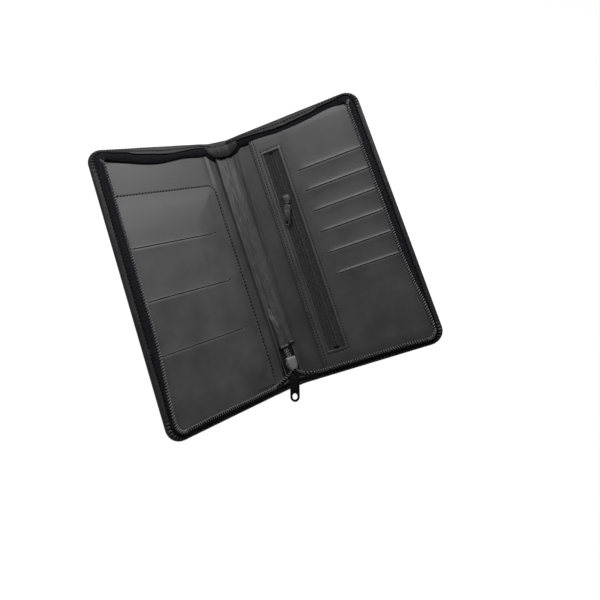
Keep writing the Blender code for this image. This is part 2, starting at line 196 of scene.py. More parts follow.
def place(s, y, z):
    """A point of the holder laid flat, put where it lies, in metres.

    s runs across: the front cover is below 0, the spine 0 to SPINE_WIDTH, the back cover beyond.
    z counts from the outer face. The sheet bends over BEND mm on either side of each fold.
    """
    if s < MID_SPINE:
        fold, near, low, high = FRONT_FOLD, 0.0, 0.0, SPINE_LEAN
    else:
        fold, near, low, high = BACK_FOLD, SPINE_WIDTH, SPINE_LEAN, COVER_LEAN
    t = s - near
    if abs(t) >= BEND:
        lean = low if t < 0 else high
        x, up = fold.x + t * cos(lean), fold.z + t * sin(lean)
    else:
        radius = BEND / tan((high - low) / 2)
        lean = low + (high - low) * (t + BEND) / (2 * BEND)
        x = fold.x - BEND * cos(low) - radius * sin(low) + radius * sin(lean)
        up = fold.z - BEND * sin(low) + radius * cos(low) - radius * cos(lean)
    above = z - FOLD_HEIGHT
    return Vector((x - above * sin(lean), y, up + above * cos(lean))) * MM


def rim(side, d, inset):
    """The flat place (s, y) that lies inset from the free edge, d along it from the bottom of mid-spine.

    side is -1 for the front half and 1 for the back half.
    """
    top = d > RIM_LENGTH / 2
    d = min(d, RIM_LENGTH - d)
    if d < STRAIGHT:
        w, y = d, -HALF_HEIGHT + inset
    elif d < STRAIGHT + QUARTER:
        angle = (d - STRAIGHT) / CORNER
        w = STRAIGHT + (CORNER - inset) * sin(angle)
        y = -HALF_HEIGHT + CORNER - (CORNER - inset) * cos(angle)
    else:
        w, y = REACH - inset, -HALF_HEIGHT + CORNER + d - STRAIGHT - QUARTER
    return MID_SPINE + side * w, -y if top else y


def ease(t):
    """0 to 1 with soft ends."""
    t = min(max(t, 0.0), 1.0)
    return t * t * (3 - 2 * t)


def mix(a, b, t):
    """From a at t = 0 to b at t = 1."""
    return a + (b - a) * t


def ridge(x, middle, width):
    """1 at the middle, falling smoothly to 0 on both sides."""
    return exp(-(((x - middle) / width) ** 2))


def wander(x, y=0.0, z=0.0):
    """Smooth unevenness between about -1 and 1."""
    return noise.noise(Vector((x, y, z)))


def distances(start, end, coarse, fine, fine_at):
    """Distances along a line, close together where fine_at says so."""
    found = [start]
    while found[-1] < end:
        found.append(min(end, found[-1] + (fine if fine_at(found[-1]) else coarse)))
    return found


def corner_share(d):
    """1 in the middle of a round corner, 0 away from it."""
    d = min(d, RIM_LENGTH - d)
    return ridge(d, STRAIGHT + QUARTER / 2, 0.62 * QUARTER)


def spine_share(d):
    """1 at mid-spine, falling to 0 a little way out along the covers."""
    d = min(d, RIM_LENGTH - d)
    return 1 - ease((d - 6) / 18)


def tuck(d):
    """How far the rim leans in over the zip: 1 along the head of the covers, 0 elsewhere."""
    head = RIM_LENGTH / 2 + UPRIGHT / 2 + QUARTER
    return ease((d - head + 8) / 20)


def free_edge(d):
    """1 along the free edge of a cover, 0 along head, foot and spine."""
    return ease((d - STRAIGHT) / QUARTER) * ease((RIM_LENGTH - STRAIGHT - d) / QUARTER)


def rim_width(side, d):
    """Width of the turned-in rim seen from above, wavy along the head."""
    along = RIM_LENGTH - d
    wave = 2.9 * ridge(along, 66, 26) - 0.9 * ridge(along, 30, 12) - 1.3 * ease((along - 94) / 10)
    return 2.2 + tuck(d) * (3.0 + wave) + 0.25 * wander(d * 0.05, side * 7.0)


def rim_share(side, d):
    """Height of the rim as a share of its full one: lower over the spine and under the main pull."""
    under_pull = ease((d - 6) / 7) * ease((28 - d) / 7) if side < 0 else 0.0
    return 1 - 0.24 * spine_share(d) - 0.54 * under_pull


def rim_rows(side, d):
    """The skin's section at d: (inset, height) from the flat face up, over the top and a little way down."""
    low = rim_share(side, d)
    width = rim_width(side, d)
    lean = tuck(d) * (1 - spine_share(d))
    out = free_edge(d) * 1.7
    turns = [i * pi / 12 for i in range(7)]
    rows = [(RIM_RADIUS * (1 - sin(a)) - out * sin(a), RIM_RADIUS * (1 - cos(a))) for a in turns]
    rows += [(0.10 - out, 4.4 * low), (0.35 - out * 0.9, 5.4 * low), (0.85 - out * 0.6, 6.15 * low)]
    crown = RIM_HEIGHT * low
    top = crown + 0.7 * lean
    rows += [(mix(RIM_CREST, width, share), mix(crown, top, share)) for share in (0.0, 0.35, 0.6, 0.8, 0.93)]
    rows += [(width, top - 0.25), (width - 0.15, top - 0.75), (width - 0.7, top - 1.3)]
    return rows + [(width - 0.9, 4.2 * low)]


def gather(d, row, rows):
    """Height of the pleats round the corners and beside the spine, and of the slight wrinkles between."""
    on_rim = ease((row - 5) / 3) * ease((rows - row) / 3)
    pleats = corner_share(d) * 0.85 + (spine_share(d) - spine_share(d) ** 3) * 1.1
    fold = sin(2 * pi * d / 2.7 + 2.4 * wander(d * 0.21, 3.0))
    along = wander(d * 0.06, row * 0.55, 5.0) + 0.9 * wander(d * 0.19, row * 0.9, 9.0)
    return on_rim * (pleats * fold + 0.30 * along)


def skin_half(name, side, finish):
    """Flat face and rim of one half of the outer skin."""
    stations = distances(
        0, RIM_LENGTH, 1.5, 0.42, lambda d: corner_share(d) > 0.12 or 0.02 < spine_share(d) < 0.999
    )
    points = []
    rows = len(rim_rows(side, 0))
    for d in stations:
        for row, (inset, height) in enumerate(rim_rows(side, d)):
            s, y = rim(side, d, inset)
            points.append(place(s, y, height + gather(d, row, rows)))
    faces = band_faces(len(stations) - 1, rows - 1)
    # The flat face: strips across between the head and foot stations, and one face for the round end.
    last = len([d for d in stations if d < STRAIGHT])
    foot = [i * rows for i in range(last)]
    head = []
    for i in foot:
        s, y = rim(side, stations[i // rows], RIM_RADIUS)
        head.append(len(points))
        points.append(place(s, -y, 0))
    for i in range(last - 1):
        faces.append((foot[i], head[i], head[i + 1], foot[i + 1]))
    end = [i * rows for i, d in enumerate(stations) if STRAIGHT <= d <= RIM_LENGTH - STRAIGHT]
    faces.append([foot[-1], head[-1], *reversed(end)])
    mesh = mesh_of(name, points, faces)
    shape = bmesh.new()
    shape.from_mesh(mesh)
    bmesh.ops.remove_doubles(shape, verts=shape.verts, dist=0.02 * MM)
    bmesh.ops.recalc_face_normals(shape, faces=shape.faces)
    shape.to_mesh(mesh)
    shape.free()
    return link(name, mesh, finish)


def settle(obj):
    """Applies the modifiers, so that the mesh is final."""
    bpy.context.view_layer.update()
    mesh = bpy.data.meshes.new_from_object(obj.evaluated_get(bpy.context.evaluated_depsgraph_get()))
    obj.modifiers.clear()
    obj.data = mesh
    mesh.shade_smooth()
    return obj


def thicken(obj, thickness, offset=-1.0):
    """Gives a sheet its thickness, in mm."""
    solid = obj.modifiers.new("thickness", "SOLIDIFY")
    solid.thickness = thickness * MM
    solid.offset = offset
    return settle(obj)


def plain_material(name, color, roughness, metallic=0.0, specular=0.5):
    """A named material whose shader has these plain values."""
    material = bpy.data.materials.new(name)
    material.use_nodes = True
    shader = material.node_tree.nodes["Principled BSDF"]
    shader.inputs["Base Color"].default_value = (*color, 1.0)
    shader.inputs["Roughness"].default_value = roughness
    shader.inputs["Metallic"].default_value = metallic
    shader.inputs["Specular IOR Level"].default_value = specular
    return material, shader


def new_group(name, inputs, outputs):
    """An empty shader node group: inputs as {name: value}, outputs as {name: socket kind}."""
    group = bpy.data.node_groups.new(name, "ShaderNodeTree")
    for socket, value in inputs.items():
        made = group.interface.new_socket(socket, in_out="INPUT", socket_type="NodeSocketFloat")
        made.default_value = value
    for socket, kind in outputs.items():
        group.interface.new_socket(socket, in_out="OUTPUT", socket_type="NodeSocket" + kind)
    return group, group.nodes.new("NodeGroupInput"), group.nodes.new("NodeGroupOutput")


def math_node(tree, operation, *values):
    """A Math node whose inputs are sockets or numbers, as its output socket."""
    node = tree.nodes.new("ShaderNodeMath")
    node.operation = operation
    for socket, value in zip(node.inputs, values):
        if isinstance(value, (int, float)):
            socket.default_value = value
        else:
            tree.links.new(value, socket)
    return node.outputs[0]


def texture_node(tree, kind, scale, **settings):
    """A texture node on object coordinates, with its scale per metre."""
    coordinates = tree.nodes.new("ShaderNodeTexCoord")
    node = tree.nodes.new("ShaderNodeTex" + kind)
    tree.links.new(coordinates.outputs["Object"], node.inputs["Vector"])
    if isinstance(scale, (int, float)):
        node.inputs["Scale"].default_value = scale
    else:
        tree.links.new(scale, node.inputs["Scale"])
    for key, value in settings.items():
        if key in node.inputs:
            node.inputs[key].default_value = value
        else:
            setattr(node, key, value)
    return node


def fac(node):
    """The value output of a texture node."""
    return next(out for out in node.outputs if out.name in ("Factor", "Fac", "Value"))


def pressed_grain_group():
    """Leather grain: small uneven cells with creases between them, cloudy at a larger scale."""
    group, given, out = new_group(
        "pressed_grain", {"Cells per metre": 1500.0}, {"Height": "Float", "Cloud": "Float", "Crease": "Float"}
    )
    cells = texture_node(group, "Voronoi", given.outputs["Cells per metre"], feature="DISTANCE_TO_EDGE")
    fine = texture_node(group, "Noise", 2600.0, Detail=3.0)
    cloud = texture_node(group, "Noise", 38.0, Detail=4.0, Roughness=0.6)
    crease = math_node(group, "MINIMUM", math_node(group, "MULTIPLY", cells.outputs["Distance"], 5.0), 1.0)
    group.links.new(math_node(group, "MULTIPLY_ADD", fac(fine), 0.5, crease), out.inputs["Height"])
    group.links.new(fac(cloud), out.inputs["Cloud"])
    group.links.new(crease, out.inputs["Crease"])
    return group


PRESSED_GRAIN = pressed_grain_group()


def span(tree, value, low, high, start=0.0, end=1.0):
    """Carries a value from the range start to end into the range low to high."""
    node = tree.nodes.new("ShaderNodeMapRange")
    for socket, number in zip(("From Min", "From Max", "To Min", "To Max"), (start, end, low, high)):
        node.inputs[socket].default_value = number
    tree.links.new(value, node.inputs["Value"])
    return node.outputs["Result"]


def two_tone(tree, mask, dark, light):
    """A colour between two, by a mask."""
    node = tree.nodes.new("ShaderNodeMix")
    node.data_type = "RGBA"
    tree.links.new(mask, node.inputs["Factor"])
    node.inputs[6].default_value = (*dark, 1.0)
    node.inputs[7].default_value = (*light, 1.0)
    return node.outputs[2]


def bump(tree, height, strength, distance, normal=None):
    """A Bump node, its distance in mm, as its output socket."""
    node = tree.nodes.new("ShaderNodeBump")
    node.inputs["Strength"].default_value = strength
    node.inputs["Distance"].default_value = distance * MM
    tree.links.new(height, node.inputs["Height"])
    if normal:
        tree.links.new(normal, node.inputs["Normal"])
    return node.outputs["Normal"]


def leather(name, dark, light, roughness, cells, depth, specular=0.5):
    """Black artificial leather: grain, cloudy colour and a sheen that changes over the surface."""
    material, shader = plain_material(name, dark, roughness, specular=specular)
    tree = material.node_tree
    grain = tree.nodes.new("ShaderNodeGroup")
    grain.node_tree = PRESSED_GRAIN
    grain.inputs["Cells per metre"].default_value = cells
    cloud = span(tree, grain.outputs["Cloud"], 0.0, 1.0, 0.3, 0.7)
    tree.links.new(two_tone(tree, cloud, dark, light), shader.inputs["Base Color"])
    rough = span(tree, grain.outputs["Cloud"], roughness - 0.06, roughness + 0.06, 0.3, 0.7)
    tree.links.new(rough, shader.inputs["Roughness"])
    tree.links.new(bump(tree, grain.outputs["Height"], 0.35, depth), shader.inputs["Normal"])
    return material


COVER_LEATHER = leather(
    "cover_leather", (0.009, 0.009, 0.010), (0.018, 0.018, 0.019), 0.46, 1300.0, 0.10, 0.28
)


def bend_at_fold(obj):
    """Bakes a sheet's placement into its mesh."""
    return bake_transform(obj)


for half_name, half_side, stood_for in (
    ("front_outer_skin", -1, ("front_cover_shell",)),
    ("back_outer_skin", 1, ("back_cover_shell", "spine_shell")),
):
    skin = thicken(skin_half(half_name, half_side, COVER_LEATHER), 0.7)
    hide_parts(*stood_for)
    bend_at_fold(skin)

# ---------------------------------------------------------------------------------------------
# Gussets. At each end of the spine the lining is drawn out into a small crescent that closes the
# corner between the covers. They are lined leather, tucked under the rim and free along the arc.
LINING_LEATHER = leather("lining_leather", (0.030, 0.030, 0.031), (0.045, 0.045, 0.046), 0.44, 900.0, 0.05)


# The gussets are lining leather, but coloured about three times darker than the lining: painted shade for
# their shaded faces.
SHADED_GUSSET_LEATHER = leather(
    "gusset_leather_painted_shade", (0.008, 0.008, 0.009), (0.015, 0.015, 0.016), 0.50, 1100.0, 0.08, 0.28
)


def crescent(name, side, reach, finish):
    """One gusset: side is 1 at the head and -1 at the foot, reach how far its arc dips from the edge."""
    across, deep = 34, 9
    start, end = (-7.0, 31.0) if side > 0 else (-3.0, 26.0)
    points = []
    for i in range(across + 1):
        t = i / across
        s = mix(start, end, t)
        arc = sqrt(max(0.0, 1 - (2 * t - 1) ** 2))
        inner = 5.6 + (reach - 5.6) * arc
        for j in range(deep + 1):
            q = j / deep
            inset = mix(4.6, inner, q)
            droop = (5.9 if side > 0 else 4.6) - 0.8 * q * arc + 0.8 * sin(pi * q) * arc
            pleat = 0.55 * (1 - q) ** 1.5 * sin(2 * pi * s / 2.9 + wander(s * 0.3, 2.0) * 2)
            points.append(place(s, side * (HALF_HEIGHT - inset), droop + pleat * arc))
    return link(name, mesh_of(name, points, band_faces(across, deep)), finish)


def two_halves(name, make, node):
    """Cuts a sheet that crosses the spine into two halves at mid-spine and gives each its thickness."""
    for side, part in ((-1, "front"), (1, "back")):
        half = make(f"{name}_{part}")
        shape = bmesh.new()
        shape.from_mesh(half.data)
        middle = place(MID_SPINE, 0, FOLD_HEIGHT)
        across = (place(MID_SPINE + 1, 0, FOLD_HEIGHT) - middle) * side
        geometry = shape.verts[:] + shape.edges[:] + shape.faces[:]
        bmesh.ops.bisect_plane(shape, geom=geometry, plane_co=middle, plane_no=across, clear_inner=True)
        shape.to_mesh(half.data)
        shape.free()
        thicken(half, 0.5)
        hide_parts(node)
        bend_at_fold(half)


two_halves("head_gusset", lambda name: crescent(name, 1, 16.0, SHADED_GUSSET_LEATHER), "spine_top_gusset")
two_halves("foot_gusset", lambda name: crescent(name, -1, 7.5, SHADED_GUSSET_LEATHER), "spine_bottom_gusset")

# ---------------------------------------------------------------------------------------------
# Main zip tapes. A woven polyester tape is sewn inside the rim of each cover and stands up out of
# it, leaning inwards. Along the head it is rolled in under the rim, and there its black cloth also
# covers the band of lining where the rim's shadow falls: painted shadow.
SLIDER_LINE, SLIDER_MOUTH = 11.6, -101.4
TAPE_FOOT = 1.6
TAPE_HEAD = RIM_LENGTH - 0.5
COIL_HEAD = RIM_LENGTH / 2 + UPRIGHT / 2 + QUARTER * 0.35


def rolled_inset(side, along):
    """How far in the rolled tape reaches along the head, at a distance from mid-spine; where it bulges in,
    its black cloth covers lining in place of the rim's shadow, as painted shadow, and under the gusset it
    reaches out past the arc as a black line.
    """
    tape_and_shadow_band = 5.4 * ridge(along, 76, 33) + 1.8 * ridge(along, 26, 12)
    under_gusset = 8.8 * sqrt(max(0.0, 1 - ((along - side * 2) / 20.0) ** 2))
    return 8.8 + max(tape_and_shadow_band, under_gusset)


def tape_edge(side, d, outwards=0.0):
    """A line just inside the tape's free edge at d, or further outwards: flat place and height."""
    head = tuck(d)
    foot = min(d, RIM_LENGTH - d) == d
    up = d - STRAIGHT - QUARTER
    bow = (2.3 * ease((up - 20) / 60) - 2.4 * ridge(up, 8, 24)) * foot + 2.3 * (1 - foot) * (1 - head)
    inset = mix(6.7 + 0.45 * wander(d * 0.045, side * 3.0) + bow, rolled_inset(side, RIM_LENGTH - d), head)
    height = mix(9.3 + 0.25 * wander(d * 0.05, side * 5.0), 4.9, head)
    s, y = rim(side, d, inset - outwards)
    if d > RIM_LENGTH / 2:
        height = mix(height, 3.4, spine_share(d))
        return s, y, height
    near = ease((25 - d) / 23)
    low = 4.95 - (0.4 * ease((d - 6) / 8) if side < 0 else 0.0)
    height = mix(height, low, ease((33 - d) / 14))
    return mix(s, SLIDER_LINE + side * 2.2, near), mix(y, SLIDER_MOUTH, near), height


def coil_line(side, d):
    """Middle of the coil at d: on the tape's edge, diving under the rolled tape at the head corner."""
    dive = ease((d - COIL_HEAD + 9) / 9)
    s, y, height = tape_edge(side, d, 2.6 * dive)
    return s, y, height - 1.6 * dive


def tape_row(side, d, q):
    """A point across the tape at d: q runs from the seam in the rim to the edge under the coil."""
    head = tuck(d)
    low = rim_share(side, d)
    width = rim_width(side, d)
    s0, y0 = rim(side, d, width - 0.45)
    z0 = 4.6 * low + 0.8 * head
    s2, y2, z2 = tape_edge(side, d)
    inward = Vector(rim(side, d, 10.0)) - Vector(rim(side, d, 9.0))
    past = 0.95
    s2, y2, z2 = s2 + inward.x * past, y2 + inward.y * past, z2 - 0.62
    near = ease((25 - d) / 23)
    s1, y1 = rim(side, d, mix(3.4, width + 2.8, head))
    y1 = mix(y1, y2, 0.5 * near)
    z1 = mix(8.6, 7.4, head) * (1 - (0.58 if side < 0 else 0.38) * ease((33 - d) / 13))
    ripple = 0.14 * wander(d * 0.15, q * 1.4, side * 4.0)
    a, b, c = (1 - q) ** 2, 2 * q * (1 - q), q * q
    return a * s0 + b * s1 + c * s2, a * y0 + b * y1 + c * y2, a * z0 + b * z1 + c * z2 + ripple


def strip(name, stations, across, point, finish):
    """A band: point(d, q) for each station d and q from 0 to 1 across."""
    points = [place(*point(d, j / across)) for d in stations for j in range(across + 1)]
    return link(name, mesh_of(name, points, band_faces(len(stations) - 1, across)), finish)


def woven_group():
    """A plain weave: two crossing sets of ribs, with slight unevenness and lint."""
    group, given, out = new_group(
        "woven", {"Threads per metre": 2600.0}, {"Height": "Float", "Lint": "Float"}
    )
    ribs = []
    for direction in ("X", "Y"):
        threads = given.outputs["Threads per metre"]
        wave = texture_node(group, "Wave", threads, bands_direction=direction, Distortion=0.6)
        wave.inputs["Detail Scale"].default_value = 2.0
        ribs.append(fac(wave))
    lint = texture_node(group, "Noise", 900.0, Detail=4.0)
    height = math_node(group, "MULTIPLY_ADD", fac(lint), 0.6, math_node(group, "MAXIMUM", *ribs))
    group.links.new(height, out.inputs["Height"])
    group.links.new(fac(lint), out.inputs["Lint"])
    return group


WOVEN = woven_group()


def cloth(name, dark, light, threads, depth, specular=0.15, sheen=0.0):
    """Dull woven tape or thread."""
    material, shader = plain_material(name, dark, 0.86, specular=specular)
    tree = material.node_tree
    weave = tree.nodes.new("ShaderNodeGroup")
    weave.node_tree = WOVEN
    weave.inputs["Threads per metre"].default_value = threads
    lint = span(tree, weave.outputs["Lint"], 0.0, 1.0, 0.35, 0.65)
    tree.links.new(two_tone(tree, lint, dark, light), shader.inputs["Base Color"])
    tree.links.new(bump(tree, weave.outputs["Height"], 0.8, depth), shader.inputs["Normal"])
    shader.inputs["Sheen Weight"].default_value = sheen
    shader.inputs["Sheen Roughness"].default_value = 0.5
    return material


TAPE_CLOTH = cloth("zip_tape_cloth", (0.004, 0.004, 0.005), (0.014, 0.014, 0.016), 420.0, 0.14, 0.08)

HALVES = ((-1, "front"), (1, "back"))
for side, part in HALVES:
    stations = distances(TAPE_FOOT, TAPE_HEAD, 1.6, 0.7, lambda d: corner_share(d) > 0.1 or d < 30)
    tape = strip(f"{part}_tape_cloth", stations, 8, lambda d, q, side=side: tape_row(side, d, q), TAPE_CLOTH)
    thicken(tape, 0.4)
    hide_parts(f"{part}_zip_tape")
    bend_at_fold(tape)

# ---------------------------------------------------------------------------------------------
# Main zip coils. One nylon thread is wound into a flat coil along each tape's edge and held by a
# row of sewing down its middle. At the foot both coils run up to the slider.
def tube_mesh(path, radii, sides=6):
    """A round bar along points in metres, with closed ends; radii in mm, one or one for each point."""
    count = len(path)
    radii = radii if isinstance(radii, list) else [radii] * count
    points = []
    normal = None
    for i, centre in enumerate(path):
        ahead = (path[min(i + 1, count - 1)] - path[max(i - 1, 0)]).normalized()
        if normal is None:
            normal = ahead.orthogonal().normalized()
        normal = (normal - ahead * normal.dot(ahead)).normalized()
        other = ahead.cross(normal)
        for k in range(sides):
            angle = 2 * pi * k / sides
            points.append(centre + (normal * cos(angle) + other * sin(angle)) * radii[i] * MM)
    return points, ring_faces(count, sides) + end_faces(count, sides)


def join(name, parts, finish):
    """One object from several (points, faces)."""
    points, faces = [], []
    for some_points, some_faces in parts:
        start = len(points)
        points += some_points
        faces += [[start + i for i in face] for face in some_faces]
    return link(name, mesh_of(name, points, faces), finish)


COIL_PITCH = 2.1
TURN_STEPS = 10


def wound(line, outward, start, end, half_width, half_height, wire, pitch=COIL_PITCH):
    """A flattened winding along line(d), as (points, faces). outward(d) is the way across the coil."""
    steps = int((end - start) / pitch * TURN_STEPS)
    path = []
    for i in range(steps + 1):
        d = start + (end - start) * i / steps
        angle = 2 * pi * (d - start) / pitch
        here, beyond = line(d), line(d + 0.2)
        ahead = (beyond - here).normalized()
        across = outward(d)
        up = ahead.cross(across).normalized()
        across = up.cross(ahead).normalized()
        path.append(here + (across * half_width * cos(angle) + up * half_height * sin(angle)) * MM)
    return tube_mesh(path, wire, 5)


def nylon(name, color, roughness):
    """Moulded nylon: dark, with a soft gloss and faint drawing lines."""
    material, shader = plain_material(name, color, roughness)
    tree = material.node_tree
    streak = texture_node(tree, "Noise", 1800.0, Detail=3.0)
    tree.links.new(two_tone(tree, fac(streak), color, [c * 1.7 for c in color]), shader.inputs["Base Color"])
    tree.links.new(span(tree, fac(streak), roughness - 0.08, roughness + 0.08), shader.inputs["Roughness"])
    tree.links.new(bump(tree, fac(streak), 0.2, 0.03), shader.inputs["Normal"])
    return material


# The main coil's nylon is mid-grey, far lighter than the black tape and the black inner coil: painted
# highlight, so that its turns read bright.
LIGHTENED_COIL_NYLON = nylon("coil_nylon", (0.085, 0.085, 0.088), 0.27)
SEWING_THREAD = cloth("sewing_thread", (0.002, 0.002, 0.002), (0.005, 0.005, 0.005), 2400.0, 0.05, 0.05)

for side, part in HALVES:
    def middle(d, side=side):
        return place(*coil_line(side, d))

    def across_coil(d, side=side):
        return place(*tape_row(side, d, 1.0)) - place(*tape_row(side, d, 0.7))

    winding = wound(middle, across_coil, TAPE_FOOT, COIL_HEAD, 1.15, 0.62, 0.40)
    coil = join(f"{part}_coil_winding", [winding], LIGHTENED_COIL_NYLON)
    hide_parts(f"{part}_zip_coil", f"zip_branch_{part}")
    bend_at_fold(coil)
    beads = distances(TAPE_FOOT, COIL_HEAD, COIL_PITCH / 4, 1, lambda d: False)
    lifted = []
    for d in beads:
        up = across_coil(d).cross(middle(d + 0.2) - middle(d)).normalized()
        lifted.append(middle(d) + up * -0.72 * MM)
    radii = [0.24 - 0.08 * cos(2 * pi * d / COIL_PITCH) for d in beads]
    sewing = join(f"{part}_coil_sewing", [tube_mesh(lifted, radii, 5)], SEWING_THREAD)
    bend_at_fold(sewing)

# ---------------------------------------------------------------------------------------------
# Rim stitching. A lock stitch in black thread goes through rim and tape all the way round; the ends
# of every stitch dip into the leather.
def resample(path, pitch):
    """Points of a path (vectors) at even distances."""
    found, left = [path[0]], pitch
    for a, b in zip(path, path[1:]):
        length = (b - a).length
        while left <= length:
            found.append(a + (b - a) * left / length)
            left += pitch
        left -= length
    return found


def stitch_row(path, above, pitch=2.4, length=1.7, radius=0.17):
    """Stitches as (points, faces) along a path of flat places (s, y, z); above lifts their middles, in mm."""
    parts = []
    marks = resample([Vector(point) for point in path], pitch)
    for here, after in zip(marks, marks[1:]):
        ahead = (after - here).normalized()
        shares = (-0.5, -0.42, -0.2, 0.0, 0.2, 0.42, 0.5)
        lifts = (-0.30, -0.02, 0.9, 1.0, 0.9, -0.02, -0.30)
        middle = (here + after) / 2
        line = [
            place(*(middle + ahead * length * share + Vector((0, 0, above * lift))))
            for share, lift in zip(shares, lifts)
        ]
        parts.append(tube_mesh(line, radius, 5))
    return parts


def rim_seam(side):
    """Flat places along the stitching on the rim."""
    path = []
    for d in distances(6, RIM_LENGTH - 6, 1.0, 1.0, lambda d: False):
        share = mix(0.62, 0.45, tuck(d))
        inset = mix(RIM_CREST, rim_width(side, d), share)
        low = rim_share(side, d)
        s, y = rim(side, d, inset)
        path.append((s, y, RIM_HEIGHT * low + 0.45 * tuck(d) + 0.12))
    return path


for side, part in HALVES:
    seam = join(f"{part}_rim_stitching", stitch_row(rim_seam(side), 0.16, 2.9, 1.4, 0.38), SEWING_THREAD)
    bend_at_fold(seam)

# ---------------------------------------------------------------------------------------------
# Boards. A sheet of grey stiffening card lies between skin and lining in each cover.
def card():
    """Pressed grey card with short fibres."""
    material, shader = plain_material("grey_card", (0.36, 0.33, 0.28), 0.9)
    tree = material.node_tree
    fibre = texture_node(tree, "Noise", 700.0, Detail=6.0)
    color = two_tone(tree, fac(fibre), (0.30, 0.27, 0.23), (0.42, 0.39, 0.34))
    tree.links.new(color, shader.inputs["Base Color"])
    tree.links.new(bump(tree, fac(fibre), 0.4, 0.06), shader.inputs["Normal"])
    return material


GREY_CARD = card()
for node in ("front_cover_board", "back_cover_board"):
    frame["nodes"][node].data.materials.clear()
    frame["nodes"][node].data.materials.append(GREY_CARD)

# ---------------------------------------------------------------------------------------------
# Lining. One thin sheet of smooth artificial leather covers both boards and the spine. Over the
# spine it is loose, so that it creases lengthwise when the holder folds.
LINING_TOP = 3.9


def lining_height(s, y):
    """Upper face of the lining."""
    drift = 1.6 * wander(y * 0.013, 4.0) + 0.5 * wander(y * 0.06, 8.0)
    loose = ease((s + 4) / 5) * (1 - ease((s - 17) / 12))
    height = LINING_TOP - 0.75 * loose
    height -= 0.22 * ridge(s, -3.0, 2.2) + 0.35 * ridge(s, -9.5, 2.4) * ease((y - 70) / 12)
    height -= 2.4 * ridge(s + 0.3 * drift, 1.8, 0.75)
    height += 1.2 * ridge(s + 0.5 * drift, 3.9, 1.2)
    folds = 1.5 * (0.3 - abs(wander((s + drift) * 0.30, y * 0.010, 1.0)))
    folds += 1.3 * (0.3 - abs(wander((s + 1.7 * drift) * 0.62, y * 0.017, 6.0)))
    folds += 0.35 * wander(s * 0.9, y * 0.12, 13.0)
    spread = ease((s - 3) / 3) * (1 - 0.70 * ease((s - 11) / 9)) * (1 - ease((s - 26) / 6))
    spread *= 1 - 0.85 * ease((-70 - y) / 8)
    height += folds * spread
    on_board = 0.16 * wander(s * 0.022, y * 0.016, 11.0)
    return max(height, 1.85) + on_board


def grid_sheet(name, s_places, y_places, height, finish, keep=lambda s, y: True, bound=lambda s, y: y):
    """A sheet over a grid of flat places. keep drops cells, bound moves a point along y."""
    points = []
    for s in s_places:
        for y in y_places:
            to = bound(s, y)
            points.append(place(s, to, height(s, to)))
    rows = len(y_places)
    faces = []
    for i, (s0, s1) in enumerate(zip(s_places, s_places[1:])):
        for j, (y0, y1) in enumerate(zip(y_places, y_places[1:])):
            if keep((s0 + s1) / 2, (y0 + y1) / 2):
                a = i * rows + j
                faces.append((a, a + rows, a + rows + 1, a + 1))
    mesh = mesh_of(name, points, faces)
    shape = bmesh.new()
    shape.from_mesh(mesh)
    bmesh.ops.delete(shape, geom=[vert for vert in shape.verts if not vert.link_faces], context="VERTS")
    shape.to_mesh(mesh)
    shape.free()
    return link(name, mesh, finish)


def round_ends(limit, radius, out):
    """A bound for grid_sheet that rounds the two corners at s = out, on a sheet of half-height limit."""
    def bound(s, y):
        past = radius - abs(out - s)
        if past <= 0:
            return y
        return y * (limit - radius + sqrt(radius**2 - past**2)) / limit
    return bound


def even(start, end, step):
    """Evenly spaced numbers from start to end, no further apart than step."""
    count = ceil(abs(end - start) / step)
    return [mix(start, end, i / count) for i in range(count + 1)]


LINING_EDGE = 4.4
lining_limit = HALF_HEIGHT - LINING_EDGE
lining_rows = even(-lining_limit, lining_limit, 2.6)
lining_out = COVER_WIDTH - LINING_EDGE
FINE = 0.45
front_places = even(-lining_out, -12, 3.0) + even(-12, MID_SPINE, FINE)[1:]
back_places = even(MID_SPINE, 34, FINE) + even(34, SPINE_WIDTH + lining_out, 3.0)[1:]
for side, part, places, stood_for in (
    (-1, "front", front_places, ("front_lining",)),
    (1, "back", back_places, ("back_lining", "spine_lining")),
):
    rounded = round_ends(lining_limit, 7.4, -lining_out if side < 0 else SPINE_WIDTH + lining_out)
    inner = grid_sheet(
        f"{part}_lining_sheet", places, lining_rows, lining_height, LINING_LEATHER, bound=rounded
    )
    thicken(inner, 0.5)
    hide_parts(*stood_for)
    bend_at_fold(inner)

# ---------------------------------------------------------------------------------------------
# Front pockets. One panel of the same leather is stitched down along its head and beside the
# spine; three slits let papers in behind it. Each slit ends in a small punched hole.
POCKET_LEATHER = leather("pocket_leather", (0.036, 0.036, 0.037), (0.052, 0.052, 0.053), 0.45, 900.0, 0.05)
SLITS = (31.5, -11.0, -53.0)
SLIT_END = 27.0
SLIT_GAP = 0.5
PANEL_HEAD = 77.0
PANEL_START = 8.5
PANEL_CORNER = 8.0
PANEL_EDGE = 4.9
panel_out = COVER_WIDTH - PANEL_EDGE
panel_foot = -HALF_HEIGHT + PANEL_EDGE


def panel_bound(s, y):
    """Rounds the panel's head corner beside the spine, and its foot corner under the rim."""
    u = -s
    top = PANEL_HEAD
    past = PANEL_START + PANEL_CORNER - u
    if past > 0:
        top -= PANEL_CORNER - sqrt(max(0.0, PANEL_CORNER**2 - past**2))
    if y > 60:
        return 60 + (y - 60) * (top - 60) / (PANEL_HEAD - 60)
    past = u - (panel_out - PANEL_CORNER)
    if past > 0 and y < -60:
        foot = panel_foot + PANEL_CORNER - sqrt(max(0.0, PANEL_CORNER**2 - past**2))
        return -60 + (y + 60) * (foot + 60) / (panel_foot + 60)
    return y


def lips(y, levels, reach, rise, rolled):
    """Height that the lips of slits add: the upper lip is rolled up over the lower one."""
    added = 0.0
    for level in levels:
        if y > level:
            added += rise * (exp(-(y - level) / reach) + rolled * ridge(y - level, 0.5, 0.75))
        else:
            added += rise * (0.9 * exp(-(level - y) / reach) - 0.5 * ridge(y, level, 1.1))
    return added


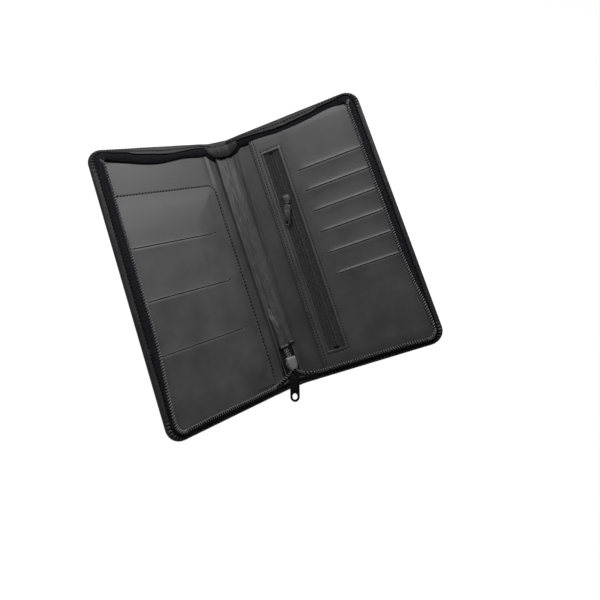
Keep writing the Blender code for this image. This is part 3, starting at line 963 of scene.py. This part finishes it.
def panel_height(s, y):
    """Upper face of the front pocket panel."""
    u = -s
    from_edge = min(PANEL_HEAD - y, u - PANEL_START)
    if u < PANEL_START + PANEL_CORNER and y > PANEL_HEAD - PANEL_CORNER:
        from_edge = PANEL_CORNER - hypot(PANEL_START + PANEL_CORNER - u, y - PANEL_HEAD + PANEL_CORNER)
    pressed = 4.25 + 0.50 * ease((from_edge - 1) / 16) + 0.85 * ease((from_edge - 3) / 34)
    pressed -= 1.1 * ease((-88 - y) / 20)
    seam = -0.10 * ridge(from_edge, 1.7, 0.8)
    mouth = ease((u - SLIT_END + 2) / 22)
    soft = 0.30 * wander(s * 0.018, y * 0.021, 21.0) * ease(from_edge / 20)
    v, w = s + 46, y + 79
    crease = 0.28 * ridge(v * 0.55 - w * 0.83, 0, 1.6) * ridge(v * 0.83 + w * 0.55, 0, 13)
    return pressed + seam + soft - crease + lips(y, SLITS, 8.0, 0.55, 0.12) * mouth


def panel_rows():
    """Rows of the grid, close together at each slit."""
    rows = []
    edges = [panel_foot, *sorted(SLITS), PANEL_HEAD]
    for low, high in zip(edges, edges[1:]):
        start = low if low == panel_foot else low + SLIT_GAP / 2
        end = high if high == PANEL_HEAD else high - SLIT_GAP / 2
        near = [start + v for v in (0, 0.25, 0.5, 0.8, 1.2, 1.8, 2.7, 4.0)]
        far = [end - v for v in (4.0, 2.7, 1.8, 1.2, 0.8, 0.5, 0.25, 0)]
        rows += near + even(near[-1], far[0], 2.2)[1:-1] + far
    return rows


def punched(obj, places, radius):
    """Cuts round holes through a sheet at flat places (s, y)."""
    for number, (s, y) in enumerate(places):
        shape = bmesh.new()
        up = place(s, y, 9) - place(s, y, 1)
        turn = Vector((0, 0, 1)).rotation_difference(up).to_matrix().to_4x4()
        turn.translation = place(s, y, 5)
        size = {"radius1": radius * MM, "radius2": radius * MM, "depth": 8 * MM}
        bmesh.ops.create_cone(shape, cap_ends=True, segments=20, matrix=turn, **size)
        mesh = bpy.data.meshes.new("punch")
        shape.to_mesh(mesh)
        shape.free()
        punch = link("punch", mesh)
        cut = obj.modifiers.new("punch", "BOOLEAN")
        cut.object = punch
        settle(obj)
        bpy.data.objects.remove(punch, do_unlink=True)


def in_slit(s, y, levels, start, end):
    """Whether a flat place lies in the gap of a slit."""
    return start < s < end and any(abs(y - level) < SLIT_GAP / 2 for level in levels)


pocket_columns = even(-panel_out, -SLIT_END - 1, 2.4) + even(-SLIT_END - 1, -PANEL_START, 0.9)[1:]
pocket_panel = grid_sheet(
    "front_pocket_sheet",
    pocket_columns,
    panel_rows(),
    panel_height,
    POCKET_LEATHER,
    keep=lambda s, y: not in_slit(s, y, SLITS, -panel_out + 3, -SLIT_END - 1),
    bound=panel_bound,
)
thicken(pocket_panel, 0.5)
punched(pocket_panel, [(-SLIT_END + 1.2, level + 0.6) for level in SLITS], 0.75)
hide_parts("front_pocket_panel")
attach(pocket_panel, "front_cover")

for number in (1, 2, 3):
    liner = frame["nodes"][f"front_pocket_liner_{number}"]
    liner.data.materials.clear()
    liner.data.materials.append(LINING_LEATHER)


def panel_seam():
    """Flat places along the stitching: up beside the spine, round the corner and along the head."""
    inset = 1.7
    start, top = -PANEL_START - inset, PANEL_HEAD - inset
    radius = PANEL_CORNER - inset
    path = [(start, y) for y in even(panel_foot + 6, top - radius, 1.5)]
    turns = even(0, pi / 2, 0.2)[1:]
    path += [(start - radius + radius * cos(a), top - radius + radius * sin(a)) for a in turns]
    path += [(s, top) for s in even(start - radius, -panel_out + 6, 1.5)[1:]]
    return [(s, y, panel_height(s, y) + 0.02) for s, y in path]


pocket_stitches = stitch_row(panel_seam(), 0.22, 3.0, 0.95, 0.66)
pocket_stitching = join("front_pocket_stitching", pocket_stitches, SEWING_THREAD)
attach(pocket_stitching, "front_cover")

# ---------------------------------------------------------------------------------------------
# Back pocket panel. One sheet carries the zip window beside the spine and six slit card mouths
# beyond it; a strip of leather behind each mouth makes the slot.
ZIP_START = SPINE_WIDTH + 20.5
ZIP_LINE = SPINE_WIDTH + 38.0
WINDOW = 7.5
WINDOW_HEAD, WINDOW_FOOT = 89.0, -95.0
CARD_LEVELS = [63.0 - 19.5 * i for i in range(6)]
CARD_START = SPINE_WIDTH + 56.0
card_out = SPINE_WIDTH + COVER_WIDTH - PANEL_EDGE
CARD_END = card_out - 3.0
back_limit = HALF_HEIGHT - PANEL_EDGE


def window_distance(s, y):
    """Distance outside the zip window's edge."""
    return max(abs(s - ZIP_LINE) - WINDOW, y - WINDOW_HEAD, WINDOW_FOOT - y)


def back_panel_height(s, y):
    """Upper face of the back pocket panel."""
    edge = ease((s - ZIP_START) / 1.2)
    base = 4.55 + 1.2 * edge + 0.35 * ease((s - ZIP_LINE - 10) / 10) - 0.5 * ease((abs(y) - 100) / 8)
    seam = -0.16 * ridge(s, ZIP_START + 2.0, 0.6) - 0.16 * ridge(s, ZIP_START + 4.4, 0.6)
    out = window_distance(s, y)
    hem = 0.45 * ridge(out, 0.7, 0.9) - 0.22 * ridge(out, 2.6, 0.6)
    mouth = ease((s - CARD_START + 1) / 9) * (0.55 + 0.45 * ease((card_out - s) / 14))
    soft = 0.26 * wander(s * 0.02, y * 0.022, 31.0)
    lifted = lips(y, CARD_LEVELS, 3.6, 0.62, 0.5) * mouth
    return base + seam + hem * ease((s - ZIP_START - 5) / 3) + soft + lifted


def back_rows():
    """Rows of the grid: close together at the card mouths and the window's ends."""
    marks = {-back_limit, back_limit, WINDOW_HEAD, WINDOW_FOOT}
    for level in CARD_LEVELS:
        marks |= {level + SLIT_GAP / 2 + v for v in (0, 0.3, 0.7, 1.2, 2.0, 3.4)}
        marks |= {level - SLIT_GAP / 2 - v for v in (0, 0.3, 0.7, 1.2, 2.0, 3.4)}
    for edge, way in ((WINDOW_HEAD, 1), (WINDOW_FOOT, -1)):
        marks |= {edge + way * v for v in (0.35, 0.7, 1.2, 1.9, 2.6, 3.3, 4.2)}
    marks = sorted(marks)
    rows = [marks[0]]
    for mark in marks[1:]:
        rows += even(rows[-1], mark, 2.4)[1:]
    return rows


def back_columns():
    """Columns of the grid: close together at the stitching, round the window and over the cards."""
    left, right = ZIP_LINE - WINDOW, ZIP_LINE + WINDOW
    marks = [ZIP_START + v for v in (0, 0.3, 0.7, 1.2, 1.6, 2.0, 2.4, 3.2, 4.0, 4.4, 4.8, 5.6)]
    marks += [left - v for v in (3.3, 2.6, 1.9, 1.2, 0.7, 0.35, 0)]
    marks += [right + v for v in (0, 0.35, 0.7, 1.2, 1.9, 2.6, 3.3, 4.2, 6.0)]
    marks += even(CARD_START - 2, card_out, 2.4)
    return marks


def keep_back(s, y):
    """Whether the panel has leather there: not in its window and not in a card mouth."""
    return window_distance(s, y) > 0 and not in_slit(s, y, CARD_LEVELS, CARD_START, CARD_END)


back_panel = grid_sheet(
    "back_pocket_sheet",
    back_columns(),
    back_rows(),
    back_panel_height,
    POCKET_LEATHER,
    keep=keep_back,
    bound=round_ends(back_limit, 7.2, card_out),
)
thicken(back_panel, 0.55)
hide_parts("zip_pocket_panel")
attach(back_panel, "back_cover")

for number, level in enumerate(CARD_LEVELS, 1):
    columns = even(CARD_START - 2, card_out - 1.5, 4.0)
    depth = 15.0 if number < len(CARD_LEVELS) else 60.0
    slot_sheet = grid_sheet(
        f"card_slot_sheet_{number}",
        columns,
        even(level - depth, level + 4.0, 3.0),
        lambda s, y: 4.62 + 0.1 * wander(s * 0.05, y * 0.05, 41.0),
        LINING_LEATHER,
    )
    thicken(slot_sheet, 0.35)
    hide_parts(f"card_slot_tier_{number}")
    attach(slot_sheet, "back_cover")


def on_back_panel(places):
    """Flat places of stitching on the back panel."""
    return [(s, y, back_panel_height(s, y) + 0.02) for s, y in places]


HEM = 2.6
hem_line = WINDOW + HEM
back_seams = []
for s, low, high, radius in (
    (ZIP_START + 2.0, -106, 106, 0.36),
    (ZIP_START + 4.4, -106, 106, 0.36),
    (ZIP_LINE + hem_line, WINDOW_FOOT - HEM, WINDOW_HEAD + HEM, 0.38),
):
    path = on_back_panel((s, y) for y in even(low, high, 1.5))
    back_seams += stitch_row(path, 0.12, 2.6, 1.2, radius)
for y in (WINDOW_HEAD + HEM, WINDOW_FOOT - HEM):
    path = on_back_panel((s, y) for s in even(ZIP_LINE - hem_line, ZIP_LINE + hem_line, 1.5))
    back_seams += stitch_row(path, 0.12, 2.6, 1.2, 0.38)
back_stitching = join("back_pocket_stitching", back_seams, SEWING_THREAD)
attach(back_stitching, "back_cover")

# ---------------------------------------------------------------------------------------------
# Inner zip. Two woven tapes lie behind the window with a fine closed coil between them, and a
# crimped metal stop at each end.
INNER_TAPE = cloth("inner_zip_cloth", (0.020, 0.020, 0.021), (0.048, 0.048, 0.050), 420.0, 0.16)
INNER_NYLON = nylon("inner_coil_nylon", (0.010, 0.010, 0.011), 0.45)


def inner_tape_height(s, y):
    """Upper face of the inner tapes: they meet over the coil, and a rib runs along each."""
    out = abs(s - ZIP_LINE)
    over_coil = 0.95 * (1 - ease((out - 1.2) / 1.6)) - 0.45 * ridge(out, 0, 0.45)
    rib = 0.42 * ridge(out, 3.6, 0.55)
    slack = 0.22 * wander(s * 0.3, y * 0.03, 51.0) * ease((out - 2) / 3)
    return 4.75 + over_coil + rib + slack


INNER_COLUMNS = (0.15, 0.5, 1.0, 1.6, 2.2, 2.8, 3.2, 3.6, 4.2, 5.0, 6.6, 8.2, 10.6)
for side, part in ((-1, "left"), (1, "right")):
    inner_tape = grid_sheet(
        f"inner_tape_cloth_{part}",
        sorted(ZIP_LINE + side * v for v in INNER_COLUMNS),
        even(WINDOW_FOOT - 4, WINDOW_HEAD + 4, 2.0),
        inner_tape_height,
        INNER_TAPE,
    )
    thicken(inner_tape, 0.35)
    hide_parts(f"inner_zip_tape_{part}")
    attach(inner_tape, "back_cover")

    def inner_line(d, side=side):
        return place(ZIP_LINE + side * 0.55, d, 4.85)

    def inner_across(d, side=side):
        return place(ZIP_LINE + side, d, 4.85) - place(ZIP_LINE, d, 4.85)

    first = WINDOW_FOOT + 3 + (0.6 if side > 0 else 0.0)
    inner_coil = join(
        f"inner_coil_winding_{part}",
        [wound(inner_line, inner_across, first, WINDOW_HEAD - 3, 0.85, 0.36, 0.22, 1.2)],
        INNER_NYLON,
    )
    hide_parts(f"inner_zip_coil_{part}")
    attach(inner_coil, "back_cover")

# ---------------------------------------------------------------------------------------------
# Metals. The main slider and its pin are cast zinc, plated and tumbled to a satin; the main pull and
# the crimped stops are enamelled black; the inner slider, its pin and its pull are darker nickel.
def worn_metal_group():
    """Handling marks on small castings: broad cloudy rubbing and fine scratches."""
    group, given, out = new_group(
        "handling_marks", {"Scratches per metre": 700.0}, {"Rubbed": "Float", "Scratch": "Float"}
    )
    rubbed = texture_node(group, "Noise", 260.0, Detail=5.0, Roughness=0.65)
    scratch = texture_node(group, "Noise", given.outputs["Scratches per metre"], Detail=2.0, Distortion=3.0)
    line = math_node(group, "ABSOLUTE", math_node(group, "SUBTRACT", fac(scratch), 0.5))
    group.links.new(fac(rubbed), out.inputs["Rubbed"])
    thin = math_node(group, "MINIMUM", math_node(group, "MULTIPLY", line, 14.0), 1.0)
    group.links.new(thin, out.inputs["Scratch"])
    return group


HANDLING_MARKS = worn_metal_group()


def casting(name, dark, light, roughness, metallic, coat=0.0, specular=0.5):
    """A small plated or enamelled casting."""
    material, shader = plain_material(name, dark, roughness, metallic, specular)
    tree = material.node_tree
    marks = tree.nodes.new("ShaderNodeGroup")
    marks.node_tree = HANDLING_MARKS
    rubbed = span(tree, marks.outputs["Rubbed"], 0.0, 1.0, 0.35, 0.65)
    tree.links.new(two_tone(tree, rubbed, dark, light), shader.inputs["Base Color"])
    tree.links.new(span(tree, rubbed, roughness + 0.06, roughness - 0.06), shader.inputs["Roughness"])
    tree.links.new(bump(tree, marks.outputs["Scratch"], 0.12, 0.02), shader.inputs["Normal"])
    shader.inputs["Coat Weight"].default_value = coat
    shader.inputs["Coat Roughness"].default_value = 0.15
    return material


SATIN_PLATE = casting("satin_plate", (0.16, 0.16, 0.163), (0.24, 0.24, 0.244), 0.55, 0.6)
DARK_NICKEL = casting("dark_nickel", (0.045, 0.045, 0.047), (0.075, 0.075, 0.078), 0.48, 0.7)
BLACK_ENAMEL = casting("black_enamel", (0.003, 0.003, 0.003), (0.006, 0.006, 0.006), 0.45, 0.0, 0.0, 0.08)


def lofted(outline, centre, rows, put):
    """A casting from one outline and rows of (share of its size, height); put gives a point in metres."""
    cx, cy = centre
    points = [put(cx + (x - cx) * share, cy + (y - cy) * share, z) for share, z in rows for x, y in outline]
    count = len(outline)
    return points, ring_faces(len(rows), count) + end_faces(len(rows), count)


def smooth_outline(points, steps=5):
    """A closed outline through points, rounded by a Catmull-Rom curve."""
    found = []
    count = len(points)
    for i in range(count):
        a, b, c, d = (Vector(points[(i + k) % count]) for k in (-1, 0, 1, 2))
        for j in range(steps):
            t = j / steps
            square, cube = 2 * a - 5 * b + 4 * c - d, 3 * b - a - 3 * c + d
            p = 0.5 * (2 * b + (c - a) * t + square * t**2 + cube * t**3)
            found.append((p.x, p.y))
    return found


# Stops. A metal strip is crimped over the last turns of the inner coil at each end.
for end, y in (("top", WINDOW_HEAD - 1.6), ("bottom", WINDOW_FOOT + 1.6)):
    corners = ((-1.8, -0.8), (1.8, -0.8), (1.8, 0.8), (-1.8, 0.8))
    block = smooth_outline([(ZIP_LINE + dx, y + dy) for dx, dy in corners], 6)
    rows = [(0.9, 5.0), (1.0, 5.2), (1.0, 5.9), (0.93, 6.15), (0.75, 6.3), (0.4, 6.35)]
    stop = join(f"inner_stop_crimp_{end}", [lofted(block, (ZIP_LINE, y), rows, place)], BLACK_ENAMEL)
    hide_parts(f"inner_zip_{end}_stop")
    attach(stop, "back_cover")

# ---------------------------------------------------------------------------------------------
# Zip tail. The closed end of the main zip lies on the spine: tape, closed coil, a leather strap
# sewn over its upper part, and the strap's folded end across it.
TAIL_LINE = 9.9
TAIL_TOP, TAIL_FOOT = -78.8, -103.4


def tail_tape_point(y, q):
    """A point across the tail's tape: q from 0 to 1."""
    down = (y - TAIL_TOP) / (TAIL_FOOT - TAIL_TOP)
    left, right = mix(4.4, 1.6, ease(down)), mix(17.6, 18.4, ease(down))
    v = mix(left, right, q)
    rise = 4.35 - 0.5 * abs(2 * q - 1) ** 3 + 0.18 * wander(v * 0.5, y * 0.08, 61.0)
    return v, y, rise


tail_tape = strip("tail_tape_cloth", even(TAIL_TOP, TAIL_FOOT, 1.0), 16, tail_tape_point, TAPE_CLOTH)
thicken(tail_tape, 0.35)
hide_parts("zip_tail_tape")
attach(tail_tape, "spine")

chain_parts = []
for side in (-1, 1):
    def chain_line(d, side=side):
        shift = (SLIDER_LINE - TAIL_LINE) * ease(d / 16)
        return place(TAIL_LINE + shift + side * 1.05, TAIL_TOP + 2 - d, 5.05)

    def chain_across(d, side=side):
        return place(TAIL_LINE + side, TAIL_TOP, 5.05) - place(TAIL_LINE, TAIL_TOP, 5.05)

    chain_parts.append(wound(chain_line, chain_across, 0.4 * (side + 1), 18.0, 1.3, 0.5, 0.38))
# The closed chain uses the main coil's nylon, whose light grey is painted highlight.
chain = join("tail_chain_winding", chain_parts, LIGHTENED_COIL_NYLON)
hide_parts("zip_tail_chain")
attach(chain, "spine")

STRAP_START, STRAP_END = -38.0, -79.4


def strap_point(y, q):
    """A point across the strap, whose edges are turned down: q from 0 to 1."""
    down = (y - STRAP_START) / (STRAP_END - STRAP_START)
    half = mix(1.0, 3.9, ease(down * 2.6))
    centre = TAIL_LINE - 2.4 * (1 - ease(down * 1.3)) + 0.3 * wander(y * 0.1, 71.0)
    edge = abs(2 * q - 1)
    top = mix(3.4, 6.3, ease(down * 1.8)) + 0.5 * wander(y * 0.16, q * 2.4, 72.0)
    top += -1.5 * edge**6 + 0.75 * ridge(q, 0.84, 0.09) - 0.3 * ridge(q, 0.62, 0.1)
    return centre + (2 * q - 1) * half, y, top


strap = strip("tail_strap", even(STRAP_START, STRAP_END, 0.8), 24, strap_point, LINING_LEATHER)
thicken(strap, 0.5)
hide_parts("zip_tail_tab")
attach(strap, "spine")


def folded_end(name, start, end, y, height):
    """A rolled end of the strap, lying across the spine."""
    bar = [place(v, y + 0.5 * ((v - start) / (end - start) - 0.5), height) for v in even(start, end, 0.6)]
    swell = [0.75 + 0.50 * sqrt(max(0.0, 1 - (2 * i / (len(bar) - 1) - 1) ** 4)) for i in range(len(bar))]
    rolled = join(name, [tube_mesh(bar, swell, 10)], LINING_LEATHER)
    return rolled


strap_fold = folded_end("tail_strap_fold", 5.6, 13.6, -79.4, 6.55)
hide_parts("zip_tail_binding")
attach(strap_fold, "spine")
bend_at_fold(folded_end("tail_strap_fold_end", 15.8, 23.0, -77.6, 5.3))

tail_seams = []
for q in (0.07, 0.93):
    path = [tail_tape_point(y, q) for y in even(TAIL_TOP - 1, TAIL_FOOT + 2, 1.5)]
    tail_seams += stitch_row(path, 0.12, 2.6, 1.2, 0.36)
tail_stitching = join("tail_stitching", tail_seams, SEWING_THREAD)
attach(tail_stitching, "spine")

# ---------------------------------------------------------------------------------------------
# Sliders. Each is one casting: two plates joined by a wedge, with turned edges that steer the
# coils, and on top a smooth cap or two lugs that hold the pin of the pull.
def shield(half, length):
    """The outline of a slider seen from above, its nose towards -y."""
    side = [(half * 0.80, length * 0.50), (half * 0.97, length * 0.40), (half, length * 0.05)]
    side += [(half * 0.84, -length * 0.22), (half * 0.52, -length * 0.42), (half * 0.2, -length * 0.5)]
    return smooth_outline(side + [(-x, y) for x, y in reversed(side)])


def slider_casting(name, at, base, size, cap_rows, finish, body, node):
    """The slider's two plates, wedge, turned edges and cap, at (s, y) of its cover or spine."""
    half, length, plate, channel = size
    outline = [(at[0] + x, at[1] + y) for x, y in shield(half, length)]
    top = base + 2 * plate + channel
    below = [(0.90, base), (0.98, base + 0.15), (1.0, base + 0.4), (0.98, base + plate)]
    above = [(0.97, top - plate), (1.0, top - plate + 0.15), (1.0, top - 0.15), (0.95, top)]
    cap = [(share, top - 0.1 + z) for share, z in cap_rows]
    parts = [lofted(outline, at, rows, place) for rows in (below, above, cap)]
    wedge_at = (at[0], at[1] + length * 0.30)
    corners = ((-0.5, 1.6), (0.5, 1.6), (0.3, -1.6), (-0.3, -1.6))
    wedge = smooth_outline([(wedge_at[0] + x, wedge_at[1] + y) for x, y in corners], 3)
    parts.append(lofted(wedge, wedge_at, [(1.0, base + plate - 0.1), (1.0, top - plate + 0.1)], place))
    for side in (-1, 1):
        edge = [(0.93, length * 0.28), (0.96, 0.0), (0.72, -length * 0.30)]
        for height in (base + plate + 0.2, top - plate - 0.2):
            rail = [place(at[0] + side * half * x, at[1] + y, height) for x, y in edge]
            parts.append(tube_mesh(rail, 0.38, 8))
    slider = join(name, parts, finish)
    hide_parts(node)
    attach(slider, body)


def pull_axes(joint_name):
    """Origin, pin, hang and outward directions of a pull at rest, from its joint."""
    joint = next(joint for joint in frame["joints"] if joint["name"] == joint_name)
    pin = -Vector(joint["axis"])
    lean = SPINE_LEAN if joint_name == "main_pull_swing" else COVER_LEAN
    outward = Vector((-sin(lean), 0, cos(lean)))
    return Vector(joint["pos_m"]), pin, outward.cross(pin), outward


def pivot_put(joint_name):
    """A function from a pull's own place (across, up its length, outward), in mm, to metres."""
    origin, pin, along, outward = pull_axes(joint_name)
    return lambda x, y, z: origin + (pin * x + along * y + outward * z) * MM


def pressed_plate(outer, hole, middle, thickness, put):
    """A plate with rounded edges and one hole: rings from the outer outline round to the hole and back."""
    half = thickness / 2
    rounding = half * 0.9
    count = len(outer)
    rings = []
    for inset, z in ((0.0, 0.0), (0.25, 0.6), (0.75, 0.93), (1.2, 1.0)):
        rings.append([(Vector(p).lerp(Vector(middle), inset * rounding / 9), z * half) for p in outer])
    for inset, z in ((1.2, 1.0), (0.75, 0.93), (0.25, 0.6), (0.0, 0.0)):
        away = inset * rounding * 0.5
        rings.append([(Vector(p) + (Vector(p) - Vector(middle)).normalized() * away, z * half) for p in hole])
    below = [[(p, -z) for p, z in ring] for ring in reversed(rings[1:-1])]
    rings += below
    points = [put(p.x, p.y, z) for ring in rings for p, z in ring]
    return points, ring_faces(len(rings), count, closed=True)


def pull_outline(length, width, shoulder, count):
    """The outline of a pull, which widens from the eye at its shoulder."""
    half = width / 2
    end = -length + half
    right = [(1.15, -0.2), (1.15, -shoulder), (half * 0.85, -shoulder - 0.8)]
    right += [(half, -shoulder - 2.4), (half, end + 2)]
    right += [(half * cos(a), end - half * sin(a)) for a in even(0, pi / 2, 0.2)]
    outline = right + [(-x, y) for x, y in reversed(right[:-1])]
    return resample_closed(outline, count)


def resample_closed(outline, count):
    path = [Vector(p) for p in outline] + [Vector(outline[0])]
    total = sum((b - a).length for a, b in zip(path, path[1:]))
    return [tuple(p) for p in resample(path, total / count)][:count]


def oval(middle, width, length, angles):
    """Points of an oval hole at the given angles round its middle."""
    points = []
    reach = (length - width) / 2
    for a in angles:
        x, y = width / 2 * cos(a), width / 2 * sin(a)
        points.append((middle[0] + x, middle[1] + y + (reach if sin(a) > 0 else -reach)))
    return points


def barrel(put, outer, inner, half_length):
    """The rolled eye of a pull round its pin."""
    section = [(inner, -half_length), (outer - 0.25, -half_length), (outer, -half_length + 0.25)]
    section += [(outer, half_length - 0.25), (outer - 0.25, half_length), (inner, half_length)]
    steps = 20
    turns = [2 * pi * k / steps for k in range(steps)]
    points = [put(x, radius * cos(a), radius * sin(a)) for radius, x in section for a in turns]
    return points, ring_faces(len(section), steps, closed=True)


def pull_casting(name, joint_name, size, shoulder, hole, finish, body, node):
    """A pull hanging from its pin: eye, plate with its finger hole, and a raised pad between them."""
    length, width, thickness = size
    put = pivot_put(joint_name)
    hole_width, hole_length = hole
    middle = (0.0, -length + (width - hole_width) / 2 + hole_length / 2)
    count = 72
    outer = pull_outline(length, width, shoulder, count)
    angles = [atan2(y - middle[1], x) for x, y in outer]
    inner = oval(middle, hole_width, hole_length, angles)
    parts = [pressed_plate(outer, inner, middle, thickness, put), barrel(put, 1.1, 0.62, 1.3)]
    pad_length = length - 8.5 - hole_length / 2 - width / 2 - 1.2
    pad_middle = (0.0, -7.0 - pad_length / 2)
    corners = ((1, -1), (1, 1), (-1, 1), (-1, -1))
    pad = [(x * width * 0.33, pad_middle[1] + y * pad_length / 2) for x, y in corners]
    pad = resample_closed(smooth_outline(pad, 6), 40)
    for face in (-1, 1):
        swell = ((1.0, 0.42), (0.97, 0.56), (0.88, 0.64), (0.4, 0.66))
        rows = [(share, face * thickness * up) for share, up in swell]
        parts.append(lofted(pad, pad_middle, rows, put))
    pull = join(name, parts, finish)
    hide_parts(node)
    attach(pull, body)
    return pull


def fit_pin(name, joint_name, radius, half_length, lug, finish, body):
    """The pin of a pull, and the two lugs that hold it."""
    put = pivot_put(joint_name)
    parts = [tube_mesh([put(x * half_length, 0, 0) for x in (-1, -0.5, 0.5, 1)], radius, 12)]
    for side in (-1, 1):
        x = side * (half_length - 0.35)
        foot, top = lug
        corners = [(-0.8, foot), (0.8, foot), (0.7, top - 0.4), (0.0, top), (-0.7, top - 0.4)]
        lug_outline = smooth_outline(corners, 4)
        count = len(lug_outline)
        points = [put(x + dx, y, z) for dx in (-0.35, 0.35) for y, z in lug_outline]
        parts.append((points, ring_faces(2, count) + end_faces(2, count)))
    pin = join(name, parts, finish)
    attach(pin, body)


MAIN_CAP = [(0.90, 0.0), (0.95, 0.6), (0.96, 1.3), (0.93, 1.8)]
MAIN_CAP += [(0.84, 2.08), (0.66, 2.2), (0.36, 2.26), (0.1, 2.28)]
INNER_CAP = [(0.86, 0.0), (0.90, 0.25), (0.86, 0.55), (0.72, 0.78), (0.45, 0.9), (0.15, 0.93)]
slider_casting(
    "main_slider_casting", (SLIDER_LINE, -95.8), 3.3, (4.5, 12.6, 0.8, 1.7),
    MAIN_CAP, SATIN_PLATE, "main_slider", "main_slider_body",
)
slider_casting(
    "inner_slider_casting", (ZIP_LINE, 42.0), 4.2, (3.3, 9.4, 0.45, 1.5),
    INNER_CAP, DARK_NICKEL, "inner_slider", "inner_slider_body",
)
fit_pin("main_pull_pin", "main_pull_swing", 0.42, 2.1, (-1.6, 0.75), SATIN_PLATE, "main_slider")
fit_pin("inner_pull_pin", "inner_pull_swing", 0.42, 2.2, (-2.0, 0.75), DARK_NICKEL, "inner_slider")

# ---------------------------------------------------------------------------------------------
# Pulls. Each is a cast plate that swings on the slider's pin, with a finger hole at its end.
pull_casting(
    "main_pull_casting", "main_pull_swing", (27.0, 8.6, 1.2), 3.2, (4.6, 5.0),
    BLACK_ENAMEL, "main_pull", "main_puller",
)
pull_casting(
    "inner_pull_casting", "inner_pull_swing", (20.5, 6.0, 1.1), 1.1, (3.0, 3.0),
    DARK_NICKEL, "inner_pull", "inner_puller",
)
